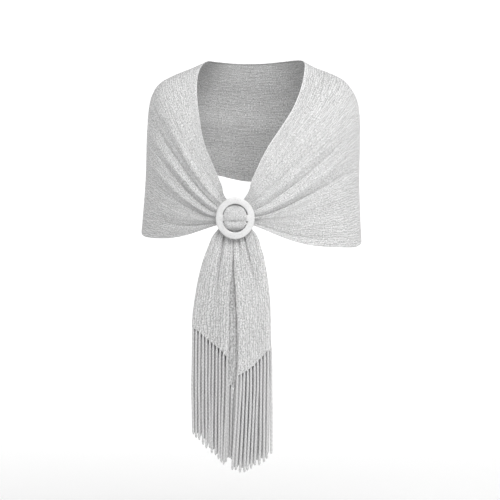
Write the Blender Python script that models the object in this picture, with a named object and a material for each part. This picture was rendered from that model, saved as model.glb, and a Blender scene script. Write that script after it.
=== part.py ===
"""Evening stole worn round the shoulders, both ends drawn through an oval ring slide.

The wearer faces -Y, +Z is up, and lengths are in metres. The origin lies between the
wearer's shoulders, at the height where the cloth rests on them. The stole is one straight
length of crinkle-pleated cloth: "along" runs from one fringed end to the other, and
"across" is the share of its width from the neck edge (0) to the lower edge (1).
"""
import math

import bmesh
import bpy
import numpy as np

# ---------------------------------------------------------------- driving dimensions
CLOTH = 0.0016                # thickness of the pleated cloth
SEAM = 0.0005                 # clearance where two stretches of the cloth meet
CORD_DROP = 0.0018            # how far below the cloth's end the cords begin
CORD = 0.0046                 # thickness of a fringe cord, and of the fringe's wall
CORD_ROOT = 0.05              # share of the fringe over which it thickens from cloth to cord

RING_CENTRE = (-0.0305, -0.1475, -0.2709)
RING_HALF_WIDTH = 0.0375      # outer oval, across
RING_HALF_HEIGHT = 0.0404     # outer oval, up
RING_BAND = 0.0131            # breadth of the flat band, the same all round
RING_DEPTH = 0.0060
RING_EDGE = 0.0018            # rounding of the band's edges
BAR_HEIGHT = 0.0120
BAR_DEPTH = 0.0034
BAR_FRONT = -0.1510           # y of the bar's front face

BACK_FOLD_FULL = 0.3          # share of its reach over which a fold of the back keeps its height
TAIL_TOP = 0.2820             # drop of the tails' upper ends, behind the ring

# How finely each piece is divided: stations along the cloth, points across it.
BACK_STATIONS = 24
FRONT_STATIONS = 15
WRAP_POINTS = 24
TAIL_GRID = (9, 28)
GATHER_GRID = (18, 9)
RING_STEPS = 52
SHOULDER_PLACE = (0.36, 0.40) # middle and half breadth of the stretch with closer points
STEP = 0.001                  # step in a surface's own terms, for reading its directions
READINGS = 400                # places read along a line to space the points on it
SECTION_FLATNESS = 0.2        # a tail's depth against its breadth, where its turns are weighed
SECTION_TURN_WEIGHT = 4.0     # how much closer the points lie where a tail's section turns


def table(names, rows):
    """A short table with named columns, as one array for each name."""
    return dict(zip(names.split(), np.array(rows, dtype=float).T))


# The cloth's line over each arm, seen from the front: neck edge, shoulder, arm, lower edge.
RIGHT_ARM = table("across x z", (
    (0.00, -0.0965, 0.0280),
    (0.08, -0.1190, 0.0200),
    (0.16, -0.1495, 0.0085),
    (0.25, -0.1810, -0.0095),
    (0.33, -0.1967, -0.0345),
    (0.40, -0.2027, -0.0600),
    (0.50, -0.2062, -0.1000),
    (0.75, -0.2103, -0.2000),
    (1.00, -0.2188, -0.3020),
))
LEFT_ARM = table("across x z", (
    (0.00, 0.1068, 0.0246),
    (0.07, 0.1310, 0.0161),
    (0.13, 0.1560, 0.0095),
    (0.20, 0.1838, -0.0028),
    (0.26, 0.2000, -0.0210),
    (0.33, 0.2115, -0.0450),
    (0.40, 0.2160, -0.0750),
    (0.50, 0.2170, -0.1150),
    (0.75, 0.2156, -0.2160),
    (1.00, 0.2193, -0.3205),
))

# How the lines of the cloth run over each front, one row for a line from arm to ring.
# arm_*: how it sets off from the arm line. ring_*: how it comes in to the ring.
# end_z: its height behind the middle of the ring.
RIGHT_FRONT = table("across arm_x arm_y arm_z ring_x ring_y ring_z end_z", (
    (0.00, -0.041, -0.052, -0.050, -0.056, 0.006, 0.054, -0.2465),
    (0.16, -0.024, -0.050, -0.012, -0.056, 0.000, 0.022, -0.2515),
    (0.36, -0.004, -0.044, 0.008, -0.061, -0.004, -0.020, -0.2575),
    (0.54, 0.000, -0.044, 0.004, -0.072, -0.004, -0.034, -0.2640),
    (0.81, 0.000, -0.053, -0.018, -0.066, 0.001, -0.022, -0.2710),
    (1.00, 0.000, -0.049, -0.031, -0.076, 0.009, -0.016, -0.2760),
))
LEFT_FRONT = table("across arm_x arm_y arm_z ring_x ring_y ring_z end_z", (
    (0.00, -0.008, -0.064, -0.074, 0.057, 0.006, 0.080, -0.2465),
    (0.16, 0.002, -0.064, -0.028, 0.060, 0.000, 0.036, -0.2515),
    (0.44, 0.000, -0.064, -0.004, 0.068, -0.004, -0.014, -0.2600),
    (0.57, 0.000, -0.060, 0.008, 0.078, -0.004, -0.032, -0.2650),
    (0.90, 0.000, -0.069, -0.030, 0.070, 0.001, -0.004, -0.2715),
    (1.00, 0.000, -0.072, -0.040, 0.077, 0.005, -0.014, -0.2760),
))
# Where an edge of a front swings off its plain curve: the edge (0 neck, 1 lower), the middle
# and half breadth of the swing, as shares of the way to the ring, and its reach.
RIGHT_SWING = table("edge place half x z", (
    (0, 0.36, 0.40, 0.0060, 0.0000),
    (0, 0.72, 0.22, 0.0052, 0.0000),
    (0, 0.93, 0.12, -0.0070, 0.0020),
    (1, 0.58, 0.34, 0.0000, -0.0056),
))
LEFT_SWING = table("edge place half x z", (
    (0, 0.20, 0.24, 0.0016, 0.0000),
    (0, 0.60, 0.30, -0.0102, -0.0010),
    (0, 0.93, 0.14, 0.0100, 0.0030),
    (1, 0.60, 0.34, 0.0000, -0.0098),
))
SWING_BREADTH = 0.35          # how far across the cloth a swing dies away
FRONT_END_Y = -0.1412         # the fronts' depth where they meet behind the ring

# The cloth at the middle of the back, its slope there towards the left arm, and half its
# nearly flat run across the back.
BACK = table("across y z slope reach", (
    (0.00, 0.080, 0.0337, 0.00, 0.080),
    (0.18, 0.094, -0.0110, 0.00, 0.105),
    (0.36, 0.106, -0.0540, 0.00, 0.115),
    (0.70, 0.115, -0.1340, -0.03, 0.115),
    (1.00, 0.119, -0.2060, -0.12, 0.115),
))
# How far the lines reach behind each arm before they turn, against their reach in front.
ARM_TURN = table("across share", (
    (0.00, 0.35),
    (0.18, 0.50),
    (0.40, 1.12),
    (1.00, 1.10),
))
# Where the lower edge is hitched up behind the right arm: place and half breadth of the
# rise, from -1 at the right arm line to 1 at the left one, and its height.
HITCH = (-0.34, 0.32, 0.024)

# Folds, one row each: place across the cloth by the arm and by the ring, half its breadth,
# its height (a ridge) or depth (a trough, negative), and where it starts and is fullest, as
# shares of the way from the arm line to the ring.
RIGHT_FOLDS = table("arm ring half height start full", (
    (0.31, 0.255, 0.070, 0.0032, 0.10, 0.60),
    (0.44, 0.350, 0.055, -0.0032, 0.00, 0.55),
    (0.515, 0.405, 0.045, 0.0034, 0.00, 0.50),
    (0.56, 0.490, 0.050, -0.0036, 0.00, 0.50),
    (0.66, 0.570, 0.055, 0.0036, 0.05, 0.45),
    (0.74, 0.670, 0.050, -0.0016, 0.15, 0.55),
    (0.86, 0.770, 0.060, 0.0020, 0.15, 0.60),
    (0.91, 0.880, 0.060, -0.0030, 0.15, 0.60),
))
LEFT_FOLDS = table("arm ring half height start full", (
    (0.26, 0.300, 0.060, -0.0014, 0.20, 0.75),
    (0.35, 0.370, 0.060, 0.0022, 0.15, 0.60),
    (0.42, 0.450, 0.055, -0.0038, 0.05, 0.60),
    (0.55, 0.510, 0.050, 0.0032, 0.05, 0.60),
    (0.67, 0.565, 0.055, -0.0044, 0.05, 0.60),
    (0.74, 0.780, 0.095, 0.0034, 0.10, 0.60),
    (0.88, 0.850, 0.070, 0.0022, 0.20, 0.60),
    (0.95, 0.960, 0.050, -0.0022, 0.20, 0.60),
))
FOLD_FADE = (0.65, 1.00)      # where the folds grow shallow, towards the ring
BACK_FOLDS = table("across half height reach", (
    (0.30, 0.16, 0.0014, 0.90),
    (0.52, 0.12, -0.0020, 0.75),
    (0.74, 0.13, 0.0016, 0.60),
    (0.90, 0.10, -0.0014, 0.55),
))

# The tails from the ring down: drop below the origin, outer edge, inner edge, front, and
# folded depth.
RIGHT_TAIL = table("drop outer inner front deep", (
    (0.2820, -0.0510, -0.0345, -0.1405, 0.0090),
    (0.2950, -0.0655, -0.0340, -0.1405, 0.0095),
    (0.3310, -0.0846, -0.0322, -0.1405, 0.0110),
    (0.3735, -0.0987, -0.0308, -0.1395, 0.0120),
    (0.4180, -0.1076, -0.0290, -0.1390, 0.0130),
    (0.4605, -0.1127, -0.0282, -0.1385, 0.0136),
    (0.5100, -0.1140, -0.0286, -0.1380, 0.0140),
    (0.8000, -0.1115, -0.0370, -0.1370, 0.0140),
))
LEFT_TAIL = table("drop outer inner front deep", (
    (0.2820, -0.0110, -0.0270, -0.1405, 0.0090),
    (0.2950, 0.0042, -0.0300, -0.1405, 0.0095),
    (0.3310, 0.0201, -0.0300, -0.1405, 0.0110),
    (0.3735, 0.0296, -0.0285, -0.1395, 0.0120),
    (0.4180, 0.0353, -0.0268, -0.1390, 0.0130),
    (0.4605, 0.0376, -0.0255, -0.1385, 0.0136),
    (0.5100, 0.0387, -0.0245, -0.1380, 0.0140),
    (0.8000, 0.0370, -0.0310, -0.1370, 0.0140),
))
# How a tail is folded in three, seen from above: along its section from the lower edge of
# the cloth to the neck edge, the share of the tail's breadth from its outer side, the
# share of its depth, and the drops of the cloth's slanting end and of the cords' tips.
RIGHT_SECTION = table("way breadth depth end tip", (
    (0.00, 0.80, 0.55, 0.5000, 0.7400),
    (0.12, 0.50, 0.56, 0.4900, 0.7220),
    (0.26, 0.08, 0.50, 0.4850, 0.6880),
    (0.31, 0.00, 0.26, 0.4850, 0.6870),
    (0.36, 0.08, 0.03, 0.4870, 0.6960),
    (0.43, 0.28, 0.00, 0.5010, 0.7140),
    (0.49, 0.48, 0.14, 0.5150, 0.7270),
    (0.55, 0.62, 0.02, 0.5260, 0.7390),
    (0.63, 0.86, 0.14, 0.5430, 0.7470),
    (0.68, 0.99, 0.50, 0.5560, 0.7400),
    (0.73, 0.90, 0.96, 0.5640, 0.7350),
    (0.86, 0.50, 1.00, 0.5420, 0.7250),
    (1.00, 0.10, 0.98, 0.5080, 0.7080),
))
LEFT_SECTION = table("way breadth depth end tip", (
    (0.00, 0.80, 0.54, 0.5400, 0.7580),
    (0.12, 0.50, 0.56, 0.5320, 0.7540),
    (0.26, 0.08, 0.50, 0.5240, 0.7320),
    (0.31, 0.00, 0.26, 0.5240, 0.7310),
    (0.36, 0.08, 0.03, 0.5270, 0.7370),
    (0.44, 0.30, 0.00, 0.5420, 0.7510),
    (0.49, 0.44, 0.12, 0.5510, 0.7570),
    (0.54, 0.56, 0.00, 0.5590, 0.7640),
    (0.63, 0.90, 0.04, 0.5740, 0.7670),
    (0.67, 1.00, 0.34, 0.5740, 0.7610),
    (0.73, 0.92, 0.96, 0.5700, 0.7580),
    (0.86, 0.50, 1.00, 0.5580, 0.7540),
    (1.00, 0.10, 0.98, 0.5440, 0.7360),
))

# The gathered cloth through the ring, from behind the band's top, over the bar, and down
# behind the band's foot: height, depth, half breadth, and how far its sides fall back.
GATHER = table("z y half fall", (
    (-0.2375, -0.1432, 0.0095, 0.0000),
    (-0.2442, -0.1432, 0.0088, 0.0000),
    (-0.2500, -0.1468, 0.0096, 0.0004),
    (-0.2540, -0.1525, 0.0150, 0.0022),
    (-0.2610, -0.1575, 0.0192, 0.0030),
    (-0.2700, -0.1582, 0.0195, 0.0026),
    (-0.2755, -0.1558, 0.0192, 0.0014),
    (-0.2780, -0.1532, 0.0190, 0.0004),
    (-0.2810, -0.1545, 0.0186, 0.0014),
    (-0.2860, -0.1548, 0.0168, 0.0022),
    (-0.2905, -0.1510, 0.0120, 0.0012),
    (-0.2924, -0.1466, 0.0090, 0.0004),
    (-0.2976, -0.1432, 0.0086, 0.0000),
    (-0.3045, -0.1432, 0.0090, 0.0000),
))

# Colours (linear), roughness and metallic value of each finish.
CLOTH_LOOK = ((0.64, 0.65, 0.67, 1.0), 0.62, 0.0)
FRINGE_LOOK = ((0.52, 0.53, 0.55, 1.0), 0.70, 0.0)
RING_LOOK = ((0.88, 0.87, 0.85, 1.0), 0.22, 0.0)


# ---------------------------------------------------------------- curves and folds
def smooth(tab, key, name, at):
    """Read column `name` at values `at` of column `key`, on a smooth curve through the rows."""
    knots, values = tab[key], tab[name]
    slopes = np.gradient(values, knots)
    low = np.clip(np.searchsorted(knots, at, side="right") - 1, 0, len(knots) - 2)
    gap = knots[low + 1] - knots[low]
    s = (at - knots[low]) / gap
    return ((1 + 2 * s) * (1 - s) ** 2 * values[low] + s * (1 - s) ** 2 * gap * slopes[low]
            + s * s * (3 - 2 * s) * values[low + 1] + s * s * (s - 1) * gap * slopes[low + 1])


def vectors(*parts):
    """Join x, y and z arrays, or plain numbers, into an array of vectors."""
    return np.stack(np.broadcast_arrays(*parts), axis=-1)


def columns(tab, *names):
    """The rows of a table, with only the named columns."""
    return zip(*(tab[name] for name in names))


def bezier(start, leave, arrive, end, t):
    """Points at t on cubic curves with these four control points."""
    t = t[..., None]
    return ((1 - t) ** 3 * start + 3 * t * (1 - t) ** 2 * leave
            + 3 * t * t * (1 - t) * arrive + t ** 3 * end)


def ramp(x, start, full):
    """0 before start, 1 after full, and a soft S between them."""
    s = np.clip((x - start) / (full - start), 0, 1)
    return s * s * (3 - 2 * s)


def bell(x):
    """A soft hump: 1 at the middle and 0 from one half breadth away."""
    return 0.5 + 0.5 * np.cos(np.pi * np.clip(x, -1, 1))


def tangents(surface, along, across):
    """The surface's two directions at a grid of places, from its points just either side."""
    return (surface(along + STEP, across) - surface(along - STEP, across),
            surface(along, across + STEP) - surface(along, across - STEP))


def normals(surface, along, across):
    """Unit normals of a surface at a grid of places."""
    n = np.cross(*tangents(surface, along, across))
    return n / np.linalg.norm(n, axis=-1, keepdims=True)


# ---------------------------------------------------------------- stretches of the cloth
def arm_line(arm, across):
    """The cloth's line over one arm."""
    return vectors(smooth(arm, "across", "x", across), 0.0, smooth(arm, "across", "z", across))


def arm_handles(front, across):
    """How the lines of the cloth set off from the arm line towards the ring."""
    return vectors(*(smooth(front, "across", n, across) for n in ("arm_x", "arm_y", "arm_z")))


def front_surface(arm, front, swing, folds, outward):
    """One front, from its arm line to the middle of the ring, with its folds."""
    seam_x = RING_CENTRE[0] + math.copysign(SEAM / 2, arm["x"][0])

    def smooth_form(along, across):
        start = arm_line(arm, across)
        end = vectors(seam_x, FRONT_END_Y, smooth(front, "across", "end_z", across))
        arrive = vectors(*(smooth(front, "across", n, across)
                           for n in ("ring_x", "ring_y", "ring_z")))
        points = bezier(start, start + arm_handles(front, across), end + arrive, end, along)
        for edge, place, half, x, z in columns(swing, "edge", "place", "half", "x", "z"):
            share = bell((along - place) / half) * bell((across - edge) / SWING_BREADTH)
            points = points + share[..., None] * np.array((x, 0.0, z))
        return points

    def folded(along, across):
        height = sum(size * ramp(along, begin, full)
                     * bell((across - arm_place - (ring_place - arm_place) * along) / half)
                     for arm_place, ring_place, half, size, begin, full
                     in columns(folds, "arm", "ring", "half", "height", "start", "full"))
        height = height * (1 - ramp(along, *FOLD_FADE))
        return (smooth_form(along, across)
                + outward * normals(smooth_form, along, across) * height[..., None])

    return folded


def back_surface():
    """The back: along runs from -1 at the right arm line to 1 at the left one."""
    def half(arm, front, side, along, across):
        start = arm_line(arm, across)
        turn = arm_handles(front, across) * smooth(ARM_TURN, "across", "share", across)[..., None]
        middle = vectors(0.0, smooth(BACK, "across", "y", across),
                         smooth(BACK, "across", "z", across))
        reach = smooth(BACK, "across", "reach", across)
        run = vectors(reach, 0.0, reach * smooth(BACK, "across", "slope", across))
        return bezier(start, start - turn, middle + side * run, middle, 1 - np.abs(along))

    def smooth_form(along, across):
        right = half(RIGHT_ARM, RIGHT_FRONT, -1, along, across)
        left = half(LEFT_ARM, LEFT_FRONT, 1, along, across)
        points = np.where((along < 0)[..., None], right, left)
        place, spread, rise = HITCH
        lift = rise * bell((along - place) / spread) * ramp(across, 0, 1)
        return points + vectors(0.0, 0.0, lift)

    def folded(along, across):
        height = sum(size * (1 - ramp(np.abs(along), BACK_FOLD_FULL * reach, reach))
                     * bell((across - place) / half_breadth)
                     for place, half_breadth, size, reach
                     in columns(BACK_FOLDS, "across", "half", "height", "reach"))
        return (smooth_form(along, across)
                + normals(smooth_form, along, across) * height[..., None])

    return folded


def tail_surface(tail, section, first, last):
    """A tail or its fringe: along runs from 0 at drop `first` to 1 at drop `last`.

    Both drops are functions of the place along the tail's folded section.
    """
    def folded(along, way):
        drop = first(way) + (last(way) - first(way)) * along
        outer = smooth(tail, "drop", "outer", drop)
        inner = smooth(tail, "drop", "inner", drop)
        front = smooth(tail, "drop", "front", drop)
        deep = smooth(tail, "drop", "deep", drop)
        return vectors(outer + (inner - outer) * smooth(section, "way", "breadth", way),
                       front + deep * smooth(section, "way", "depth", way), -drop)

    return folded


def gather_surface():
    """The gathered cloth over the ring's bar, crowned from side to side."""
    run = np.r_[0, np.cumsum(np.hypot(np.diff(GATHER["z"]), np.diff(GATHER["y"])))]
    line = dict(GATHER, run=run / run[-1])

    def crowned(along, side):
        return vectors(RING_CENTRE[0] + smooth(line, "run", "half", along) * side,
                       smooth(line, "run", "y", along)
                       + smooth(line, "run", "fall", along) * side ** 2,
                       smooth(line, "run", "z", along))

    return crowned


def wrap_points():
    """Places across the back and the fronts, closest together over the shoulder and arm."""
    middle, half = SHOULDER_PLACE
    across = np.linspace(0, 1, READINGS)
    total = np.cumsum(1 + bell((across - middle) / half))
    return np.interp(np.linspace(total[0], total[-1], WRAP_POINTS), total, across)


def section_ways(section):
    """Places along a tail's folded section, closest together where it turns."""
    way = np.linspace(0, 1, READINGS)
    heading = np.unwrap(np.arctan2(
        np.gradient(smooth(section, "way", "depth", way)) * SECTION_FLATNESS,
        np.gradient(smooth(section, "way", "breadth", way))))
    turning = np.abs(np.gradient(heading))
    total = np.cumsum(1 + SECTION_TURN_WEIGHT * turning / turning.max())
    return np.interp(np.linspace(total[0], total[-1], TAIL_GRID[1]), total, way)


# ---------------------------------------------------------------- solids
def finish(name, look):
    """A material with one Principled shader."""
    colour, roughness, metallic = look
    material = bpy.data.materials.new(name + "_finish")
    material.use_nodes = True
    shader = material.node_tree.nodes["Principled BSDF"]
    shader.inputs["Base Color"].default_value = colour
    shader.inputs["Roughness"].default_value = roughness
    shader.inputs["Metallic"].default_value = metallic
    return material


def add_object(name, bm, look):
    """Put a finished mesh into the scene as one named sub-part."""
    bmesh.ops.recalc_face_normals(bm, faces=bm.faces)
    mesh = bpy.data.meshes.new(name)
    bm.to_mesh(mesh)
    bm.free()
    mesh.shade_smooth()
    mesh.materials.append(finish(name, look))
    piece = bpy.data.objects.new(name, mesh)
    bpy.context.scene.collection.objects.link(piece)
    return piece


def wall(name, surface, along, across, thickness, look, trim=(0.0, 0.0)):
    """A closed wall about a surface, its ends drawn in by `trim`.

    The thickness is one number, or one for each station along the surface.
    """
    along, across = np.meshgrid(along, across, indexing="ij")
    grid = surface(along, across)
    way = tangents(surface, along, across)[0]
    way /= np.linalg.norm(way, axis=-1, keepdims=True)
    grid[0] += way[0] * trim[0]
    grid[-1] -= way[-1] * trim[1]
    half_thickness = np.broadcast_to(thickness, len(along)) / 2
    offset = normals(surface, along, across) * half_thickness[:, None, None]
    rows, breadth = along.shape
    bm = bmesh.new()
    outer, inner = ([[bm.verts.new(point) for point in line] for line in skin]
                    for skin in (grid + offset, grid - offset))
    for skin in (outer, inner):
        for i in range(rows - 1):
            for j in range(breadth - 1):
                bm.faces.new((skin[i][j], skin[i + 1][j], skin[i + 1][j + 1], skin[i][j + 1]))
    rim = ([(i, 0) for i in range(rows)]
           + [(rows - 1, j) for j in range(1, breadth)]
           + [(i, breadth - 1) for i in range(rows - 2, -1, -1)]
           + [(0, j) for j in range(breadth - 2, 0, -1)])
    for (i, j), (k, m) in zip(rim, rim[1:] + rim[:1]):
        bm.faces.new((outer[i][j], outer[k][m], inner[k][m], inner[i][j]))
    return add_object(name, bm, look)


def band_section():
    """Outline of the ring's band: a flat oblong with rounded edges, as (out, front) pairs."""
    half_band = RING_BAND / 2 - RING_EDGE
    half_depth = RING_DEPTH / 2 - RING_EDGE
    points = []
    for corner, (out, front) in enumerate(((1, 1), (-1, 1), (-1, -1), (1, -1))):
        for turn in (0, 0.5, 1):
            angle = math.pi / 2 * (corner + turn)
            points.append((out * half_band + RING_EDGE * math.cos(angle),
                           front * half_depth + RING_EDGE * math.sin(angle)))
    return points


def ring_slide():
    """The oval ring and its flat centre bar, as one moulded piece."""
    section = band_section()
    cx, cy, cz = RING_CENTRE
    bm = bmesh.new()
    loops = []
    for step in range(RING_STEPS):
        angle = 2 * math.pi * step / RING_STEPS
        loops.append([bm.verts.new((
            cx + (RING_HALF_WIDTH - RING_BAND / 2 + out) * math.cos(angle),
            cy - front,
            cz + (RING_HALF_HEIGHT - RING_BAND / 2 + out) * math.sin(angle),
        )) for out, front in section])
    for here, there in zip(loops, loops[1:] + loops[:1]):
        for k in range(len(section)):
            after = (k + 1) % len(section)
            bm.faces.new((here[k], here[after], there[after], there[k]))
    ring = add_object("ring_slide", bm, RING_LOOK)

    bar = bmesh.new()
    bmesh.ops.create_cube(bar, size=1)
    bar_reach = 2 * (RING_HALF_WIDTH - RING_BAND / 2)
    for corner in bar.verts:
        corner.co = (cx + corner.co.x * bar_reach,
                     BAR_FRONT + BAR_DEPTH / 2 + corner.co.y * BAR_DEPTH,
                     cz + corner.co.z * BAR_HEIGHT)
    bar_piece = add_object("bar_shape", bar, RING_LOOK)
    bar_piece.hide_render = True
    bar_piece.display_type = "WIRE"
    union = ring.modifiers.new("bar", "BOOLEAN")
    union.operation = "UNION"
    union.object = bar_piece
    return ring


def tail_and_fringe(side, tail, section):
    """One tail, and the wall of cords that hangs just below its slanting end."""
    def cloth_top(way):
        return np.full_like(way, TAIL_TOP)

    def cloth_end(way):
        return smooth(section, "way", "end", way)

    def cord_top(way):
        return cloth_end(way) + CORD_DROP

    def cord_tips(way):
        return smooth(section, "way", "tip", way)

    ways = section_ways(section)
    wall(side + "_tail", tail_surface(tail, section, cloth_top, cloth_end),
         np.linspace(0, 1, TAIL_GRID[0]), ways, CLOTH, CLOTH_LOOK)
    wall(side + "_fringe", tail_surface(tail, section, cord_top, cord_tips),
         np.array((0, CORD_ROOT, 0.5, 1)), ways, np.array((CLOTH, CORD, CORD, CORD)), FRINGE_LOOK)


def build():
    """Clear the scene and make every sub-part of the stole."""
    for piece in list(bpy.data.objects):
        bpy.data.objects.remove(piece)
    seam = SEAM / 2
    across = wrap_points()
    wall("back_stretch", back_surface(), np.linspace(-1, 1, BACK_STATIONS), across,
         CLOTH, CLOTH_LOOK, trim=(seam, seam))
    for side, arm, front, swing, folds, outward in (
            ("right", RIGHT_ARM, RIGHT_FRONT, RIGHT_SWING, RIGHT_FOLDS, -1),
            ("left", LEFT_ARM, LEFT_FRONT, LEFT_SWING, LEFT_FOLDS, 1)):
        wall(side + "_front", front_surface(arm, front, swing, folds, outward),
             np.linspace(0, 1, FRONT_STATIONS), across, CLOTH, CLOTH_LOOK, trim=(seam, 0.0))
    wall("ring_gather", gather_surface(), np.linspace(0, 1, GATHER_GRID[0]),
         np.linspace(-1, 1, GATHER_GRID[1]), CLOTH, CLOTH_LOOK)
    tail_and_fringe("right", RIGHT_TAIL, RIGHT_SECTION)
    tail_and_fringe("left", LEFT_TAIL, LEFT_SECTION)
    ring_slide()


build()
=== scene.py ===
"""Evening stole worn round the shoulders, both ends drawn through an oval ring slide.

The wearer faces -Y, +Z is up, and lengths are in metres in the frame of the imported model: its
origin lies between the wearer's shoulders. The stole is one straight length of crinkle-pleated
cloth. "along" runs from one fringed end to the other, and "across" is the share of its width
from the neck edge (0) to the lower edge (1).
"""

import logging
import math
from collections.abc import Callable, Iterator
from dataclasses import dataclass, field
from enum import Enum

import bpy
import numpy as np
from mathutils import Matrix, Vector


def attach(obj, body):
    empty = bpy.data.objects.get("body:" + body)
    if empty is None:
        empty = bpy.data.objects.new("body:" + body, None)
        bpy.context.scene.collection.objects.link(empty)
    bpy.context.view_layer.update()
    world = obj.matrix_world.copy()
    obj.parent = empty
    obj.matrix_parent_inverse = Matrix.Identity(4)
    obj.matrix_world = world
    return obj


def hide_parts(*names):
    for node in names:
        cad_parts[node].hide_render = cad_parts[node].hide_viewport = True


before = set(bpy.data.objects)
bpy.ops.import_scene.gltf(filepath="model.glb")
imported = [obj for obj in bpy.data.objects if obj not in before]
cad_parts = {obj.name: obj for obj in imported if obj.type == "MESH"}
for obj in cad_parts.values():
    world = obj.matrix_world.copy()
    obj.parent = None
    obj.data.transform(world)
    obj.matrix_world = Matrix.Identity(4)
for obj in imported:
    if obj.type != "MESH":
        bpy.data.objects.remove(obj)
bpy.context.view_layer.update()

Array = np.ndarray
Surface = Callable[[Array, Array], Array]
Colour = tuple[float, float, float, float]
Pair = tuple[float, float]
Triple = tuple[float, float, float]
LOG = logging.getLogger("evening_stole")

CLOTH_WIDTH = 0.25       # width of the stole lying relaxed, with its crinkle pleats closed
CLOTH_HALF = 0.0005      # half the thickness of the cloth
STEP = 0.001             # step in a surface's own terms, for reading its directions
CLOTH_CREASE = math.radians(60)   # edges steeper than this are drawn sharp
RING_CREASE = math.radians(40)    # the same on the ring
CLOTH_MAP = "cloth"      # UV map of every cloth piece and cord: metres along, metres across
RELIEF_AND_PAINTED_LIGHT = "relief"        # attribute: 0 in the pits of the crinkle, 1 on its crests, painted as shade and light; on the cloth it also carries a painted hem highlight and lift
WRONG_SIDE = "wrong"     # attribute: 1 on the cloth's wrong side, which faces the wearer and is painted darker as the shade inside the garment
PAINTED_SHADE = "depth"          # attribute: painted shade, 0 where there is none and 1 where it is full: in folds, the back's hollow, behind the ring, low on the fronts
RING = "ring_slide_polished"      # the ring's piece
GATHER = "ring_gather_cloth"      # the piece of cloth that passes through it
NOISE_SPAN = (0.3, 0.7)  # where nearly all the values of a shader's noise lie

# Which set of random numbers each soft noise uses.
CRINKLE_SEED, PATCH_SEED, BILLOW_SEED, CORD_SEED = 11, 31, 5, 9
SET_STEP = 17            # how far apart the sets of ridges read their noise


class Held(Enum):
    """How a stretch of cloth is held."""

    DRAPED = "draped"
    GATHERED = "gathered"
    HUNG = "hung"


class Side(Enum):
    """The wearer's right (-X) or left (+X)."""

    RIGHT = -1
    LEFT = 1

    @property
    def word(self) -> str:
        """The side's name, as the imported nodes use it."""
        return self.name.lower()


class Table:
    """A short table with named columns, read on a smooth curve through its rows."""

    def __init__(self, names: str, rows: tuple[tuple[float, ...], ...]) -> None:
        """Keep each column as an array.

        Args:
            names: The columns' names, with spaces between them.
            rows: The rows, in rising order of the column that they are read by.
        """
        self.columns: dict[str, Array] = dict(zip(names.split(), np.array(rows, dtype=float).T))

    def __getitem__(self, name: str) -> Array:
        """The column of that name."""
        return self.columns[name]

    def rows(self, names: str) -> Iterator[tuple[float, ...]]:
        """The rows, with only the named columns, in that order."""
        return zip(*(self.columns[name] for name in names.split()))

    def read(self, key: str, name: str, at: Array) -> Array:
        """Read a column between the rows.

        Each span is a cubic with the rows' values at its ends and, as its slopes there, the
        slopes from one neighbouring row to the other.

        Args:
            key: The column that gives the rows' places.
            name: The column to read.
            at: The places to read it at.

        Returns:
            The values there, in the shape of `at`.
        """
        knots, values = self.columns[key], self.columns[name]
        slopes = np.gradient(values, knots)
        low = np.clip(np.searchsorted(knots, at, side="right") - 1, 0, len(knots) - 2)
        gap = knots[low + 1] - knots[low]
        s = (at - knots[low]) / gap
        return ((1 + 2 * s) * (1 - s) ** 2 * values[low]
                + s * (1 - s) ** 2 * gap * slopes[low]
                + s * s * (3 - 2 * s) * values[low + 1]
                + s * s * (s - 1) * gap * slopes[low + 1])

    def vectors(self, key: str, names: str, at: Array) -> Array:
        """Read three columns as the x, y and z of vectors, at the places `at` of `key`."""
        return np.stack([self.read(key, name, at) for name in names.split()], axis=-1)


# ------------------------------------------------------------------ curves and soft patterns
def vectors(*parts: Array | float) -> Array:
    """Join x, y and z arrays, or plain numbers, into an array of vectors."""
    return np.stack(np.broadcast_arrays(*parts), axis=-1)


def bezier(start: Array, leave: Array, arrive: Array, end: Array, t: Array) -> Array:
    """Points on cubic curves: the four control points weighted by the terms of (1-t + t)^3."""
    t = t[..., None]
    return ((1 - t) ** 3 * start + 3 * t * (1 - t) ** 2 * leave
            + 3 * t * t * (1 - t) * arrive + t ** 3 * end)


def ramp(x: Array, start: float, full: float) -> Array:
    """0 before start, 1 after full, and the S curve 3s^2 - 2s^3 between them."""
    s = np.clip((x - start) / (full - start), 0, 1)
    return s * s * (3 - 2 * s)


def bell(x: Array) -> Array:
    """A soft hump, half a cosine wave high: 1 at the middle, 0 from one half breadth away."""
    return 0.5 + 0.5 * np.cos(np.pi * np.clip(x, -1, 1))


def soft_noise(x: Array, y: Array, seed: int) -> Array:
    """Smooth random values from -1 to 1, the same ones each time.

    Random numbers stand on a grid of unit squares, and each square is blended from its four
    corners with the S curve 3t^2 - 2t^3 in both directions.

    Args:
        x: First coordinate, in squares.
        y: Second coordinate, in squares.
        seed: Which set of random numbers to use.

    Returns:
        The values, in the shape of x and y broadcast together.
    """
    size = 128
    grid = np.random.default_rng(seed).uniform(-1, 1, (size, size))
    x, y = np.broadcast_arrays(x, y)
    i, j = np.floor(x).astype(int), np.floor(y).astype(int)
    u, v = x - i, y - j
    u, v = u * u * (3 - 2 * u), v * v * (3 - 2 * v)
    i, j, i_next, j_next = i % size, j % size, (i + 1) % size, (j + 1) % size
    return ((grid[i, j] * (1 - u) + grid[i_next, j] * u) * (1 - v)
            + (grid[i, j_next] * (1 - u) + grid[i_next, j_next] * u) * v)


def unit(v: Array) -> Array:
    """The vectors at length 1."""
    return v / np.maximum(np.linalg.norm(v, axis=-1, keepdims=True), 1e-12)


def normals(surface: Surface, along: Array, across: Array) -> Array:
    """A surface's normals: the cross products of its directions along and across."""
    return unit(np.cross(surface(along + STEP, across) - surface(along - STEP, across),
                         surface(along, across + STEP) - surface(along, across - STEP)))


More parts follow.
